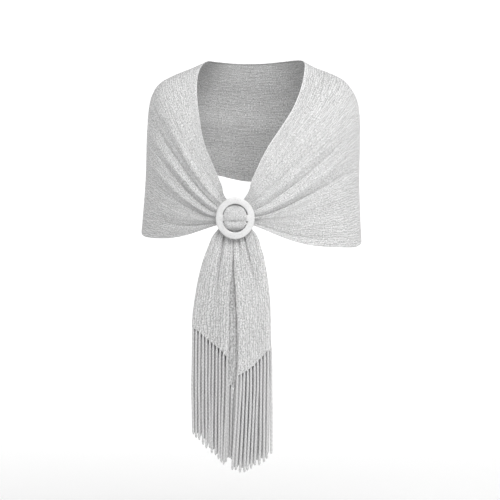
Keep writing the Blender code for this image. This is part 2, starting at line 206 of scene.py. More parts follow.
# ------------------------------------------------------------------ meshes
def make_mesh(name: str, points: Array, faces: list[Array], coordinates: Array,
              relief: Array, wrong: Array | None = None,
              depth: Array | None = None) -> bpy.types.Object:
    """Put arrays of points and faces into a new object at the origin.

    Args:
        name: The object's name.
        points: One row for each vertex.
        faces: Arrays of faces, each with one row of vertex numbers for a face.
        coordinates: Metres along and across the cloth, one row for each vertex.
        relief: The height of the crinkle at each vertex, from 0 to 1, which the finishes paint
            as shade in the pits and light on the crests.
        wrong: 1 at each vertex on the cloth's wrong side, and 0 elsewhere.
        depth: The painted shade at each vertex, from 0 to 1.

    Returns:
        The object, shaded smooth, with its edges sharp where faces meet at a steep angle.
    """
    corners = np.concatenate([face.ravel() for face in faces]).astype(np.int32)
    counts = np.concatenate([np.full(len(face), face.shape[1]) for face in faces])
    mesh = bpy.data.meshes.new(name)
    mesh.vertices.add(len(points))
    mesh.vertices.foreach_set("co", points.astype(np.float32).ravel())
    mesh.loops.add(len(corners))
    mesh.loops.foreach_set("vertex_index", corners)
    mesh.polygons.add(len(counts))
    mesh.polygons.foreach_set("loop_start", np.r_[0, np.cumsum(counts)[:-1]].astype(np.int32))
    mesh.update(calc_edges=True)
    layer = mesh.uv_layers.new(name=CLOTH_MAP)
    layer.data.foreach_set("uv", coordinates[corners].astype(np.float32).ravel())
    none = np.zeros(len(points))
    shown = {RELIEF_AND_PAINTED_LIGHT: relief, WRONG_SIDE: none if wrong is None else wrong,
             PAINTED_SHADE: none if depth is None else depth}
    for word, values in shown.items():
        attribute = mesh.attributes.new(word, "FLOAT", "POINT")
        attribute.data.foreach_set("value", values.astype(np.float32))
    mesh.shade_smooth()
    mesh.set_sharp_from_angle(angle=CLOTH_CREASE)
    piece = bpy.data.objects.new(name, mesh)
    bpy.context.scene.collection.objects.link(piece)
    return piece


def grid_faces(first: int, rows: int, columns: int, around: bool = False,
               closed: bool = False) -> Array:
    """Faces between neighbouring points of a grid whose points are numbered row by row.

    Args:
        first: The number of the grid's first point.
        rows: Rows of the grid.
        columns: Points in a row.
        around: Whether each row closes on itself.
        closed: Whether the last row joins the first.

    Returns:
        One row of four vertex numbers for each face, facing along x across.
    """
    number = first + np.arange(rows * columns).reshape(rows, columns)
    if closed:
        number = np.concatenate([number, number[:1]])
    if around:
        number = np.concatenate([number, number[:, :1]], axis=1)
    return np.stack([number[:-1, :-1], number[1:, :-1], number[1:, 1:], number[:-1, 1:]],
                    axis=-1).reshape(-1, 4)


def shell(name: str, grid: Array, half: Array, coordinates: Array, relief: Array,
          depths: tuple[Array, Array], right_side_first: bool) -> bpy.types.Object:
    """A thin closed sheet about a grid of points.

    Both skins are the grid moved out and in by half the thickness along its normals, which
    are the cross products of its two directions, and a strip round the rim joins them.

    Args:
        name: The object's name.
        grid: Points, rows along the cloth and columns across it.
        half: Half the thickness at each point.
        coordinates: Metres along and across at each point.
        relief: Height of the crinkle, 0 to 1, on the skin that the normals point out of, painted
            as shade in the pits and light on the crests.
        depths: The painted shade at each point on the right side, and on the wrong side.
        right_side_first: Whether that skin is the cloth's right side.

    Returns:
        The new object.
    """
    rows, columns = grid.shape[:2]
    normal = unit(np.cross(np.gradient(grid, axis=0), np.gradient(grid, axis=1)))
    offset = normal * half[..., None]
    count = rows * columns
    points = np.concatenate([(grid + offset).reshape(-1, 3), (grid - offset).reshape(-1, 3)])
    number = np.arange(count).reshape(rows, columns)
    rim = np.concatenate([number[:-1, 0], number[-1, :-1], number[:0:-1, -1], number[0, :0:-1]])
    after = np.roll(rim, -1)
    faces = [grid_faces(0, rows, columns), grid_faces(count, rows, columns)[:, ::-1],
             np.stack([rim, rim + count, after + count, after], axis=-1)]
    flat = coordinates.reshape(-1, 2)
    wrong = np.repeat((0.0, 1.0) if right_side_first else (1.0, 0.0), count)
    skins = depths if right_side_first else depths[::-1]
    return make_mesh(name, points, faces, np.concatenate([flat, flat]),
                     np.concatenate([relief.ravel(), 1 - relief.ravel()]), wrong,
                     np.concatenate([skin.ravel() for skin in skins]))


def dress(piece: bpy.types.Object, finish: bpy.types.Material, slot: str,
          *nodes: str) -> bpy.types.Object:
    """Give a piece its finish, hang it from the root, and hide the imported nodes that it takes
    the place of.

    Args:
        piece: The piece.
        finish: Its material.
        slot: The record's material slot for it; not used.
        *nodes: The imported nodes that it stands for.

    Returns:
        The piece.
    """
    piece.data.materials.clear()
    piece.data.materials.append(finish)
    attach(piece, "root")
    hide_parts(*nodes)
    LOG.info("%s: %d faces", piece.name, len(piece.data.polygons))
    return piece


# ------------------------------------------------------------------ finishes
def grey(level: float) -> Colour:
    """A plain grey."""
    return level, level, level, 1.0


class Shader:
    """A material that is put together node by node."""

    def __init__(self, name: str) -> None:
        """Start a material with one Principled shader."""
        self.material = bpy.data.materials.new(name)
        self.material.use_nodes = True
        self.tree = self.material.node_tree
        self.surface = self.tree.nodes["Principled BSDF"]

    def add(self, kind: str, sockets: dict[str | int, object] | None = None,
            **settings: object) -> bpy.types.Node:
        """Add a node.

        Args:
            kind: The node's type, without its ShaderNode prefix.
            sockets: Values or output sockets for its inputs, by name or number.
            **settings: Its own settings.

        Returns:
            The node.
        """
        node = self.tree.nodes.new("ShaderNode" + kind)
        for name, value in settings.items():
            setattr(node, name, value)
        for name, value in (sockets or {}).items():
            self.feed(node, name, value)
        return node

    def feed(self, node: bpy.types.Node, name: str | int, value: object) -> None:
        """Link an output socket to a node's input, or set the input to a plain value."""
        if isinstance(value, bpy.types.NodeSocket):
            self.tree.links.new(value, node.inputs[name])
        else:
            node.inputs[name].default_value = value

    def value(self, word: str) -> bpy.types.NodeSocket:
        """A value that the piece's vertices carry."""
        return self.add("Attribute", attribute_name=word).outputs["Fac"]

    def noise(self, vector: object, scale: Triple, detail: float,
              roughness: float = 0.5) -> bpy.types.NodeSocket:
        """Noise whose blots are 1/scale metres long in each direction.

        Args:
            vector: The coordinates' socket.
            scale: Blots for each metre in the three directions.
            detail: How many finer layers it has.
            roughness: How strong those layers are.

        Returns:
            The noise's value, about 0.5.
        """
        place = self.add("Mapping", {"Vector": vector, "Scale": scale})
        return self.add("TexNoise", {"Vector": place.outputs["Vector"], "Scale": 1.0,
                                     "Detail": detail, "Roughness": roughness}).outputs[0]

    def blend(self, factor: object, low: object, high: object) -> bpy.types.NodeSocket:
        """A colour from low to high by a factor from 0 to 1."""
        node = self.add("Mix", data_type="RGBA")
        self.feed(node, 0, factor)
        self.feed(node, 6, low)
        self.feed(node, 7, high)
        return node.outputs[2]

    def dim(self, colour: object, share: object) -> bpy.types.NodeSocket:
        """A colour times a share."""
        node = self.add("VectorMath", {0: colour, "Scale": share}, operation="SCALE")
        return node.outputs["Vector"]

    def reshape(self, value: object, low: float, high: float, to_low: float = 0.0,
                to_high: float = 1.0) -> bpy.types.NodeSocket:
        """Stretch a value's span from low..high to to_low..to_high, and hold it there."""
        return self.add("MapRange", {"Value": value, "From Min": low, "From Max": high,
                                     "To Min": to_low, "To Max": to_high}).outputs[0]

    def total(self, *terms: tuple[object, float]) -> bpy.types.NodeSocket:
        """The sum of values, each times its own weight."""
        result: object = 0.0
        for value, weight in terms:
            result = self.add("Math", {0: value, 1: weight, 2: result},
                              operation="MULTIPLY_ADD").outputs[0]
        return result

    def bump(self, height: object, distance: float, strength: float) -> bpy.types.NodeSocket:
        """A bump of that height, from 0 to 1, times a distance in metres."""
        return self.add("Bump", {"Height": height, "Distance": distance,
                                 "Strength": strength}).outputs["Normal"]

    def finish(self, sockets: dict[str, object]) -> bpy.types.Material:
        """Feed the surface's own inputs, and return the material."""
        for name, value in sockets.items():
            self.feed(self.surface, name, value)
        return self.material


@dataclass(frozen=True)
class CrinkleCloth:
    """Silver-grey crinkle-pleated satin.

    Attributes:
        name: The material's name.
        crest: The pale end of the tone, painted on the crests as light.
        pit: The dark end of the tone, painted in the pits as shade.
        wrong_side_shade: How light the wrong side is painted against the right side, as the
            shade inside the garment.
        painted_shade_strength: How much darker the cloth is painted where its painted shade is
            full.
        pitch: Distance from one fine crinkle to the next.
        stray: How far, in radians of their wave, the fine crinkles wander.
        wander: Changes of that wandering for each metre along and across.
        grain: Threads' grain for each metre along and across.
        cloud: Soft changes of tone for each metre along and across.
        weights: What the relief, the fine crinkles, the grain and the clouds add to the tone.
        tone: The tone of the pits' colour, and that of the crests'.
        roughness: Its roughness where the grain is low, and where it is high.
        sheen: Weight and roughness of the sheen.
        specular: Level of its reflections.
        bump_height: Height of the crinkles that the shader adds.
        bump_weights: What the fine crinkles and the grain add to that.
    """

    name: str = "crinkle_cloth"
    crest: Colour = grey(0.905)
    pit: Colour = grey(0.365)
    # Painted shade on the wrong side, inside the garment.
    wrong_side_shade: float = 0.88
    painted_shade_strength: float = 0.30
    pitch: float = 0.0050
    stray: float = 12.0
    wander: Triple = (60.0, 160.0, 1.0)
    grain: Triple = (400.0, 760.0, 1.0)
    cloud: Triple = (22.0, 45.0, 1.0)
    weights: tuple[float, ...] = (0.10, 0.24, 2.4, 0.15)
    tone: Pair = (0.88, 1.78)
    roughness: Pair = (0.63, 0.47)
    sheen: Pair = (0.12, 0.4)
    specular: float = 0.30
    bump_height: float = 0.0008
    bump_weights: Pair = (0.15, 0.6)

    def material(self) -> bpy.types.Material:
        """Fine lines along the pleats, a grain, soft clouds and the crinkle's own relief,
        painted as light and shade.

        A line's height is the sine of the way across times 2 pi over the pitch, plus a stray
        that changes softly from place to place.
        """
        shader = Shader(self.name)
        place = shader.add("UVMap", uv_map=CLOTH_MAP).outputs[0]
        across = shader.add("SeparateXYZ", {"Vector": place}).outputs["Y"]
        phase = shader.total((across, 2 * math.pi / self.pitch),
                             (shader.noise(place, self.wander, detail=1.0), self.stray))
        line = shader.add("Math", {0: phase}, operation="SINE").outputs[0]
        grain = shader.noise(place, self.grain, detail=0.0)
        cloud = shader.noise(place, self.cloud, detail=2.0)
        # The relief adds painted shade in the crinkle's pits and painted light on its crests.
        tone = shader.total(*zip((shader.value(RELIEF_AND_PAINTED_LIGHT), line, grain, cloud), self.weights))
        colour = shader.blend(shader.reshape(tone, *self.tone), self.pit, self.crest)
        # Painted shade: the wrong side is dimmed, and so is the cloth in folds, hollows, behind
        # the ring and low on the fronts.
        for word, share in ((WRONG_SIDE, self.wrong_side_shade), (PAINTED_SHADE, 1.0 - self.painted_shade_strength)):
            colour = shader.dim(colour, shader.reshape(shader.value(word), 0.0, 1.0, 1.0, share))
        height = shader.total(*zip((line, grain), self.bump_weights))
        return shader.finish({
            "Base Color": colour,
            "Roughness": shader.reshape(grain, *NOISE_SPAN, *self.roughness),
            "Sheen Weight": self.sheen[0],
            "Sheen Roughness": self.sheen[1],
            "Specular IOR Level": self.specular,
            "Normal": shader.bump(height, self.bump_height, strength=1.0),
        })


@dataclass(frozen=True)
class TwistedCord:
    """Silver-grey cord, two plies twisted together.

    Attributes:
        name: The material's name.
        crest: Colour of the plies.
        pit: Colour in the groove between them, painted there as shade.
        hair: Fibres for each metre along and across.
        weights: What the plies' relief and the fibres add to the tone.
        tone: The tone of the groove's colour, and that of the plies'.
        roughness: Its roughness.
        sheen: Weight of the sheen.
        specular: Level of its reflections.
        bump: Height and strength of the fibres' bump.
    """

    name: str = "twisted_cord"
    crest: Colour = grey(0.865)
    pit: Colour = grey(0.40)
    hair: Triple = (500.0, 900.0, 1.0)
    weights: Pair = (0.5, 1.6)
    tone: Pair = (0.55, 1.45)
    roughness: float = 0.6
    sheen: float = 0.3
    specular: float = 0.35
    bump: Pair = (0.0004, 0.6)

    def material(self) -> bpy.types.Material:
        """Pale plies with painted shade in the groove between them, and fine fibres along each.
        """
        shader = Shader(self.name)
        place = shader.add("UVMap", uv_map=CLOTH_MAP).outputs[0]
        hair = shader.noise(place, self.hair, detail=3.0, roughness=0.6)
        # The plies' relief is painted: shade in the groove, light on the plies.
        tone = shader.total(*zip((shader.value(RELIEF_AND_PAINTED_LIGHT), hair), self.weights))
        return shader.finish({
            "Base Color": shader.blend(shader.reshape(tone, *self.tone), self.pit, self.crest),
            "Roughness": self.roughness,
            "Sheen Weight": self.sheen,
            "Specular IOR Level": self.specular,
            "Normal": shader.bump(hair, *self.bump),
        })


@dataclass(frozen=True)
class PearlResin:
    """Polished pearly white resin, with painted shade that greys it towards the ring's foot and
    right side.

    Attributes:
        name: The material's name.
        light: The paler white.
        shade: The greyer white.
        cloud: Soft clouds for each metre in x, y and z.
        speck: Fine specks for each metre in x, y and z.
        weights: What the clouds and the specks add to the tone.
        middle: The ring's middle, across and in height.
        rise: What the tone gains with each metre across and in height, a painted shade that
            greys the foot and the wearer's right side.
        mean: The mean tone at the ring's middle.
        tone: How far from the mean the tone of the greyer white is, and of the paler.
        roughness: Its roughness on the low specks, and on the high ones.
        coat: Weight and roughness of the polish.
        inside: Share of the light that passes under its surface.
        inside_reach: How far that light spreads.
        bump: Height and strength of the ripples.
    """

    name: str = "pearl_resin"
    light: Colour = grey(0.85)
    shade: Colour = grey(0.67)
    cloud: Triple = (70.0, 70.0, 110.0)
    speck: Triple = (420.0, 420.0, 420.0)
    weights: Pair = (0.5, 0.6)
    middle: Pair = (-0.0305, -0.2709)
    rise: Pair = (2.4, 1.6)
    mean: float = 0.53
    tone: Pair = (-0.30, 0.20)
    roughness: Pair = (0.25, 0.40)
    coat: Pair = (0.4, 0.12)
    inside: float = 0.15
    inside_reach: Triple = (0.004, 0.004, 0.004)
    bump: Pair = (0.0002, 0.3)

    def material(self) -> bpy.types.Material:
        """Soft clouds of two near whites under a clear polish, with faint ripples, and painted
        shade towards the foot and the wearer's right.
        """
        shader = Shader(self.name)
        place = shader.add("TexCoord").outputs["Object"]
        cloud = shader.noise(place, self.cloud, detail=3.0, roughness=0.6)
        speck = shader.noise(place, self.speck, detail=2.0)
        axes = shader.add("SeparateXYZ", {"Vector": place}).outputs
        # Painted shade: the tone falls towards the ring's foot and the wearer's right side.
        tone = shader.total(*zip((cloud, speck, axes["X"], axes["Z"]),
                                 (*self.weights, *self.rise)))
        level = self.mean + self.rise[0] * self.middle[0] + self.rise[1] * self.middle[1]
        tone = shader.reshape(tone, *(level + part for part in self.tone))
        return shader.finish({
            "Base Color": shader.blend(tone, self.shade, self.light),
            "Roughness": shader.reshape(speck, *NOISE_SPAN, *self.roughness),
            "Coat Weight": self.coat[0],
            "Coat Roughness": self.coat[1],
            "Subsurface Weight": self.inside,
            "Subsurface Radius": self.inside_reach,
            "Normal": shader.bump(cloud, *self.bump),
        })


@dataclass(frozen=True)
class PaleFloor:
    """Plain studio paper that glows with painted light of its own, so that it is palest behind
    the stole.

    Attributes:
        name: The material's name.
        colour: Its colour.
        roughness: Its roughness.
        glow: Its own light on the camera's side, and behind the stole.
        spread: How far from the middle the glow goes on changing.
    """

    name: str = "studio_paper"
    colour: Colour = grey(0.50)
    roughness: float = 0.9
    glow: Pair = (0.16, 0.76)
    spread: float = 3.0

    def material(self) -> bpy.types.Material:
        """Matt grey, with a white glow that rises evenly from front to back."""
        shader = Shader(self.name)
        place = shader.add("TexCoord").outputs["Object"]
        depth = shader.add("SeparateXYZ", {"Vector": place}).outputs["Y"]
        return shader.finish({
            "Base Color": self.colour,
            "Roughness": self.roughness,
            # Painted light: the paper glows, though it is no lamp.
            "Emission Color": grey(1.0),
            "Emission Strength": shader.reshape(depth, -self.spread, self.spread, *self.glow),
        })


# ------------------------------------------------------------------ the cloth
@dataclass(frozen=True)
class Crinkle:
    """The lengthwise crinkle pleats: three sets of ridges that wander, part and meet.

    The height is a sum of cosine waves across the cloth. Each wave's phase wanders with soft
    noise, longer along the cloth than across it, and a second noise fades it out in patches.

    Attributes:
        height: Height of the ridges.
        counts: How many ridges of each set lie across the cloth.
        shares: What each set adds to the height.
        wander: How far the ridges stray sideways, in ridges.
        wander_length: How far along the cloth they stray one way.
        patch_length: Length of the patches where a set fades.
        strays: Ridges of a set for one stray, and for one patch, across the cloth.
    """

    height: float = 0.00030
    counts: tuple[float, ...] = (27.0, 41.0, 60.0)
    shares: tuple[float, ...] = (0.26, 0.40, 0.34)
    wander: float = 0.9
    wander_length: float = 0.026
    patch_length: float = 0.013
    strays: Pair = (5, 3)

    def relief(self, along_m: Array, across: Array) -> Array:
        """The crinkle's height, from about -1 to 1.

        Args:
            along_m: Metres along the cloth.
            across: Share of the cloth's width.

        Returns:
            Heights in the shape of both, broadcast together.
        """
        total = np.zeros(np.broadcast(along_m, across).shape)
        for order, (count, share) in enumerate(zip(self.counts, self.shares)):
            phase = self.wander * soft_noise(along_m / self.wander_length + SET_STEP * order,
                                             across * count / self.strays[0],
                                             CRINKLE_SEED + order)
            patch = soft_noise(along_m / self.patch_length, across * count / self.strays[1],
                               PATCH_SEED + order)
            total += share * (0.7 + 0.6 * patch) * np.cos(2 * np.pi * (count * across + phase))
        return total


@dataclass
class ClothStretch:
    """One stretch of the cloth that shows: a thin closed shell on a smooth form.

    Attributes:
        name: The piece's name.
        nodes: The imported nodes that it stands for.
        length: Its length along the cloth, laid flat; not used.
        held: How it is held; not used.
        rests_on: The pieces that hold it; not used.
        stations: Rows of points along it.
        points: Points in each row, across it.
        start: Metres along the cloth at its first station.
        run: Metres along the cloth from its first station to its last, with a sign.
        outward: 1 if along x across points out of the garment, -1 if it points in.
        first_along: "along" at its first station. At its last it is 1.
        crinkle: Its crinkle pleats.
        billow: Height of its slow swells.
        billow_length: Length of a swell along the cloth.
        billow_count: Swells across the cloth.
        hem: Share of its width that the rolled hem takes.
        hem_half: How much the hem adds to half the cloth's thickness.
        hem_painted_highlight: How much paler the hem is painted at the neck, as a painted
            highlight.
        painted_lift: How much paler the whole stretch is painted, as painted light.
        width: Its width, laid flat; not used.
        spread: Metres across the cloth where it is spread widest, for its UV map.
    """

    name: str
    nodes: tuple[str, ...]
    length: float
    held: Held
    rests_on: tuple[str, ...]
    stations: int
    points: int
    start: float = 0.0
    run: float = 0.0
    outward: int = 1
    first_along: float = 0.0
    crinkle: Crinkle = field(default_factory=Crinkle)
    billow: float = 0.0012
    billow_length: float = 0.07
    billow_count: float = 3.5
    hem: float = 0.018
    hem_half: float = 0.0004
    hem_painted_highlight: float = 4.0
    painted_lift: float = 0.0
    width: float = CLOTH_WIDTH
    spread: float = 0.42

    def form(self, along: Array, across: Array) -> Array:
        """The stretch's shape without its crinkle: points at places along and across it."""
        raise NotImplementedError

    def depth(self, along: Array, across: Array) -> Array:
        """The painted shade on the cloth's right side at places along and across it, from 0 to
        1.
        """
        return np.zeros(np.broadcast(along, across).shape)

    def hollow(self, along: Array, across: Array) -> Array:
        """The same on the cloth's wrong side."""
        return self.depth(along, across)

    def metres(self, along: Array) -> Array:
        """Metres along the whole cloth at places along this stretch."""
        share = (along - self.first_along) / (1 - self.first_along)
        return self.start + self.run * share

    def lifted(self, surface: Surface, along: Array, across: Array, height: Array) -> Array:
        """A surface moved out of the garment by a height, along its normals."""
        return (surface(along, across)
                + normals(surface, along, across) * self.outward * height[..., None])

    def build(self, finish: bpy.types.Material) -> bpy.types.Object:
        """The form is moved along its outward normals by the crinkle's height and by a slow
        billow. Its two long edges are a little thicker, as a narrow rolled hem, and the hem
        along the neck gets a painted highlight.

        Args:
            finish: The cloth's material.

        Returns:
            The finished piece.
        """
        along, across = np.meshgrid(np.linspace(self.first_along, 1, self.stations),
                                    np.linspace(0, 1, self.points), indexing="ij")
        metres = self.metres(along)
        relief = self.crinkle.relief(metres, across)
        edge = bell(across / self.hem) + bell((1 - across) / self.hem)
        height = (relief * self.crinkle.height * (1 - edge)
                  + self.billow * soft_noise(metres / self.billow_length,
                                             across * self.billow_count, BILLOW_SEED))
        grid = self.lifted(self.form, along, across, height)
        level = np.clip(0.5 + 0.5 * relief * self.outward * (1 - edge), 0, 1)
        # Painted highlight on the neck's hem.
        # Painted lift of light over the whole stretch.
        level += self.outward * (self.hem_painted_highlight * bell(across / self.hem) + self.painted_lift)
        piece = shell(self.name, grid, CLOTH_HALF + self.hem_half * edge,
                      np.stack([metres, across * self.spread], axis=-1), level,
                      (self.depth(along, across), self.hollow(along, across)),
                      self.outward > 0)
        return dress(piece, finish, "cloth", *self.nodes)

    def declare(self, piece: bpy.types.Object, with_pieces: list[bpy.types.Object]) -> None:
        """Does nothing: the piece and the pieces on it are left as they are."""


@dataclass
class Front(ClothStretch):
    """A front, from the cloth's line over one arm (along 0) to the ring's middle (along 1).

    Attributes:
        side: The wearer's right or left.
        arm: The line over the arm: across, x and z, with y 0.
        lines: How the cloth's lines leave the arm and come in to the ring, and end there.
        swing: Where an edge swings off its plain curve.
        swing_breadth: How far in from the edge it swings, as a share of the width.
        folds: Ridges and troughs, with their places by the arm and by the ring.
        core: How wide a sharp trough's V is against the trough.
        fade: Where the folds flatten before the ring, as shares of the way along.
        bottom: How wide the painted shade at a trough's bottom is against the trough.
        end_x: The ring's middle, where the front ends.
        end_y: How far forward it lies there.
        rim: Where the cloth slips behind the ring, as shares of the way along.
        rim_shade: How dark it is there.
        lee: How dark its lower half is, which is turned from the light.
        lee_reach: Where that shade begins and is full, as shares of the width.
    """

    side: Side = Side.RIGHT
    arm: Table = None
    lines: Table = None
    swing: Table = None
    folds: Table = None
    swing_breadth: float = 0.35
    end_x: float = -0.0305
    end_y: float = -0.1412
    fade: Pair = (0.65, 1.0)
    bottom: float = 0.45
    rim: Pair = (0.79, 0.86)
    rim_shade: float = 0.3
    lee: float = 0.0
    lee_reach: Pair = (0.45, 0.75)
    core: float = 0.45

    def arm_line(self, across: Array) -> Array:
        """The cloth's line over the arm."""
        return vectors(self.arm.read("across", "x", across), 0.0,
                       self.arm.read("across", "z", across))

    def leaving(self, across: Array) -> Array:
        """How the lines of the cloth set off from the arm towards the ring."""
        return self.lines.vectors("across", "arm_x arm_y arm_z", across)

    def plain(self, along: Array, across: Array) -> Array:
        """The front without its folds: cubic curves from the arm line to the ring."""
        start = self.arm_line(across)
        end = vectors(self.end_x, self.end_y, self.lines.read("across", "end_z", across))
        arrive = self.lines.vectors("across", "ring_x ring_y ring_z", across)
        points = bezier(start, start + self.leaving(across), end + arrive, end, along)
        for edge, place, half, x, z in self.swing.rows("edge place half x z"):
            share = bell((along - place) / half) * bell((across - edge) / self.swing_breadth)
            points = points + share[..., None] * np.array((x, 0.0, z))
        return points

    def depth(self, along: Array, across: Array) -> Array:
        """Painted shade: in the troughs' narrow bottoms, on the lower half and on the cloth
        behind the ring's rim.
        """
        # Painted shade behind the ring's rim and on the lower half, turned from the light.
        depth = (self.rim_shade * ramp(along, *self.rim)
                 + self.lee * ramp(across, *self.lee_reach))
        for arm_place, ring_place, half, begin, dark in self.folds.rows(
                "arm ring half start dark"):
            place = arm_place + (ring_place - arm_place) * along
            depth = np.maximum(depth, dark * ramp(along, begin, 1.0)
                               * bell((across - place) / (half * self.bottom)))
        return depth

    def form(self, along: Array, across: Array) -> Array:
        """The plain front with its folds: humps and V-bottomed troughs along the lines."""
        height = np.zeros(np.broadcast(along, across).shape)
        for row in self.folds.rows("arm ring half height start full sharp"):
            arm_place, ring_place, half, size, begin, full, sharp = row
            place = arm_place + (ring_place - arm_place) * along
            far = (across - place) / half
            shape = (1 - sharp) * bell(far) + sharp * bell(far / self.core)
            height += size * ramp(along, begin, full) * shape
        height *= 1 - ramp(along, *self.fade)
        return self.lifted(self.plain, along, across, height)


@dataclass
class Back(ClothStretch):
    """The back, from the right arm line (along -1) to the left one (along 1).

    Attributes:
        right: The right front, whose arm line and setting off the back carries on.
        left: The left front.
        middle: The cloth at the middle of the back, its slope there, and half its nearly
            flat run.
        turn: How far the lines reach behind each arm, against their reach in front.
        folds: Soft ridges and troughs across the back.
        fold_full: Share of its reach over which a fold keeps its height.
        hitch: Place, half breadth and height of a rise of the lower edge.
        low: Where across the cloth the shade of the hollow begins, and where it is full.
        low_shade: How dark that shade is.
        side_reach: Where the shade beside the right front begins and is full.
        side_shade: How dark that shade is.
    """

    right: Front = None
    left: Front = None
    middle: Table = None
    turn: Table = None
    folds: Table = None
    hitch: Triple = (-0.34, 0.32, 0.024)
    fold_full: float = 0.3
    low: Pair = (0.1, 1.1)
    low_shade: float = 0.8
    side_reach: Pair = (0.15, 0.50)
    side_shade: float = 0.4

    def hollow(self, along: Array, across: Array) -> Array:
        """The painted shade low down in the hollow of the back, and beside the right front."""
        # Painted shade in the back's hollow and beside the right front.
        return (self.low_shade * ramp(across, *self.low)
                + self.side_shade * ramp(-along, *self.side_reach))

    def half(self, front: Front, along: Array, across: Array) -> Array:
        """One half: cubic curves from that arm's line to the middle of the back."""
        start = front.arm_line(across)
        turn = front.leaving(across) * self.turn.read("across", "share", across)[..., None]
        middle = vectors(0.0, self.middle.read("across", "y", across),
                         self.middle.read("across", "z", across))
        reach = self.middle.read("across", "reach", across)
        run = vectors(reach, 0.0, reach * self.middle.read("across", "slope", across))
        return bezier(start, start - turn, middle + front.side.value * run, middle,
                      1 - np.abs(along))

    def plain(self, along: Array, across: Array) -> Array:
        """Both halves, with the lower edge's rise."""
        points = np.where((along < 0)[..., None], self.half(self.right, along, across),
                          self.half(self.left, along, across))
        place, spread, rise = self.hitch
        return points + vectors(0.0, 0.0, rise * bell((along - place) / spread)
                                * ramp(across, 0, 1))

    def form(self, along: Array, across: Array) -> Array:
        """The plain back with its soft folds."""
        height = np.zeros(np.broadcast(along, across).shape)
        for place, half, size, reach in self.folds.rows("across half height reach"):
            height += (size * (1 - ramp(np.abs(along), self.fold_full * reach, reach))
                       * bell((across - place) / half))
        return self.lifted(self.plain, along, across, height)


@dataclass
class Tail(ClothStretch):
    """A tail below the ring, folded in three. "across" is the way along its folded section.

    Attributes:
        side: The wearer's right or left.
        hang: For each drop below the origin, the outer and inner edge, front and depth.
        section: The section seen from above, with the drops of its end and of the cords.
        pleats: Pleats that press it back below the ring: their ways by the ring and at the
            end, half breadth, depth, and the drops where they start to fade and are gone.
        top: The drop at which the tail starts, behind the ring.
        rim: The drops between which the shade of the ring's foot fades away.
        rim_shade: How dark that shade is.
        bottom: How wide the painted shade at a pleat's bottom is against the pleat.
        lead: How far above the drop where a pleat starts to fade its painted shade does.
        dusk: The drops between which the section's own shade comes in.
    """

    side: Side = Side.RIGHT
    hang: Table = None
    section: Table = None
    pleats: Table = None
    top: float = 0.2820
    rim: Pair = (0.318, 0.330)
    rim_shade: float = 0.2
    bottom: float = 0.35
    lead: float = 0.03
    dusk: Pair = (0.31, 0.40)

    def place(self, drop: Array, way: Array) -> Array:
        """The point at a drop below the origin and a way along the folded section.

        The section is stretched between the tail's two sides. Its inner fold moves by the
        tuck, and each pleat presses it back, less and less down to the pleat's end.
        """
        outer, inner, front, deep, tuck = (self.hang.read("drop", name, drop) for name in
                                           ("outer", "inner", "front", "deep", "tuck"))
        breadth, depth, weight = (self.section.read("way", name, way)
                                  for name in ("breadth", "depth", "tuck"))
        y = front + deep * depth
        for high, low, half, press, full, fade in self.pleats.rows(
                "high low half press full fade"):
            middle = high + (low - high) * ramp(drop, self.top, fade)
            y = y + press * (1 - ramp(drop, full, fade)) * bell((way - middle) / half)
        return vectors(outer + (inner - outer) * (breadth + tuck * weight), y, -drop)

    def depth(self, along: Array, across: Array) -> Array:
        """Painted shade: the section's own, the ring's foot's, and the pleats' bottoms close to
        the ring.
        """
        drop = self.top + (self.end(across) - self.top) * along
        # Painted shade from the section, the ring's foot and the pleats' bottoms.
        depth = (np.clip(self.section.read("way", "shade", across), 0, 1)
                 * ramp(drop, *self.dusk))
        depth = np.maximum(depth, self.rim_shade * (1 - ramp(drop, *self.rim)))
        for high, low, half, full, fade in self.pleats.rows("high low half full fade"):
            middle = high + (low - high) * ramp(drop, self.top, fade)
            depth = np.maximum(depth, (1 - ramp(drop, full - self.lead, fade))
                               * bell((across - middle) / (half * self.bottom)))
        return depth

    def end(self, way: Array) -> Array:
        """The drop of the cloth's slanting end."""
        return self.section.read("way", "end", way)

    def tip(self, way: Array) -> Array:
        """The drop of the cords' tips."""
        return self.section.read("way", "tip", way)

    def form(self, along: Array, across: Array) -> Array:
        """The tail from its top to its slanting end."""
        return self.place(self.top + (self.end(across) - self.top) * along, across)


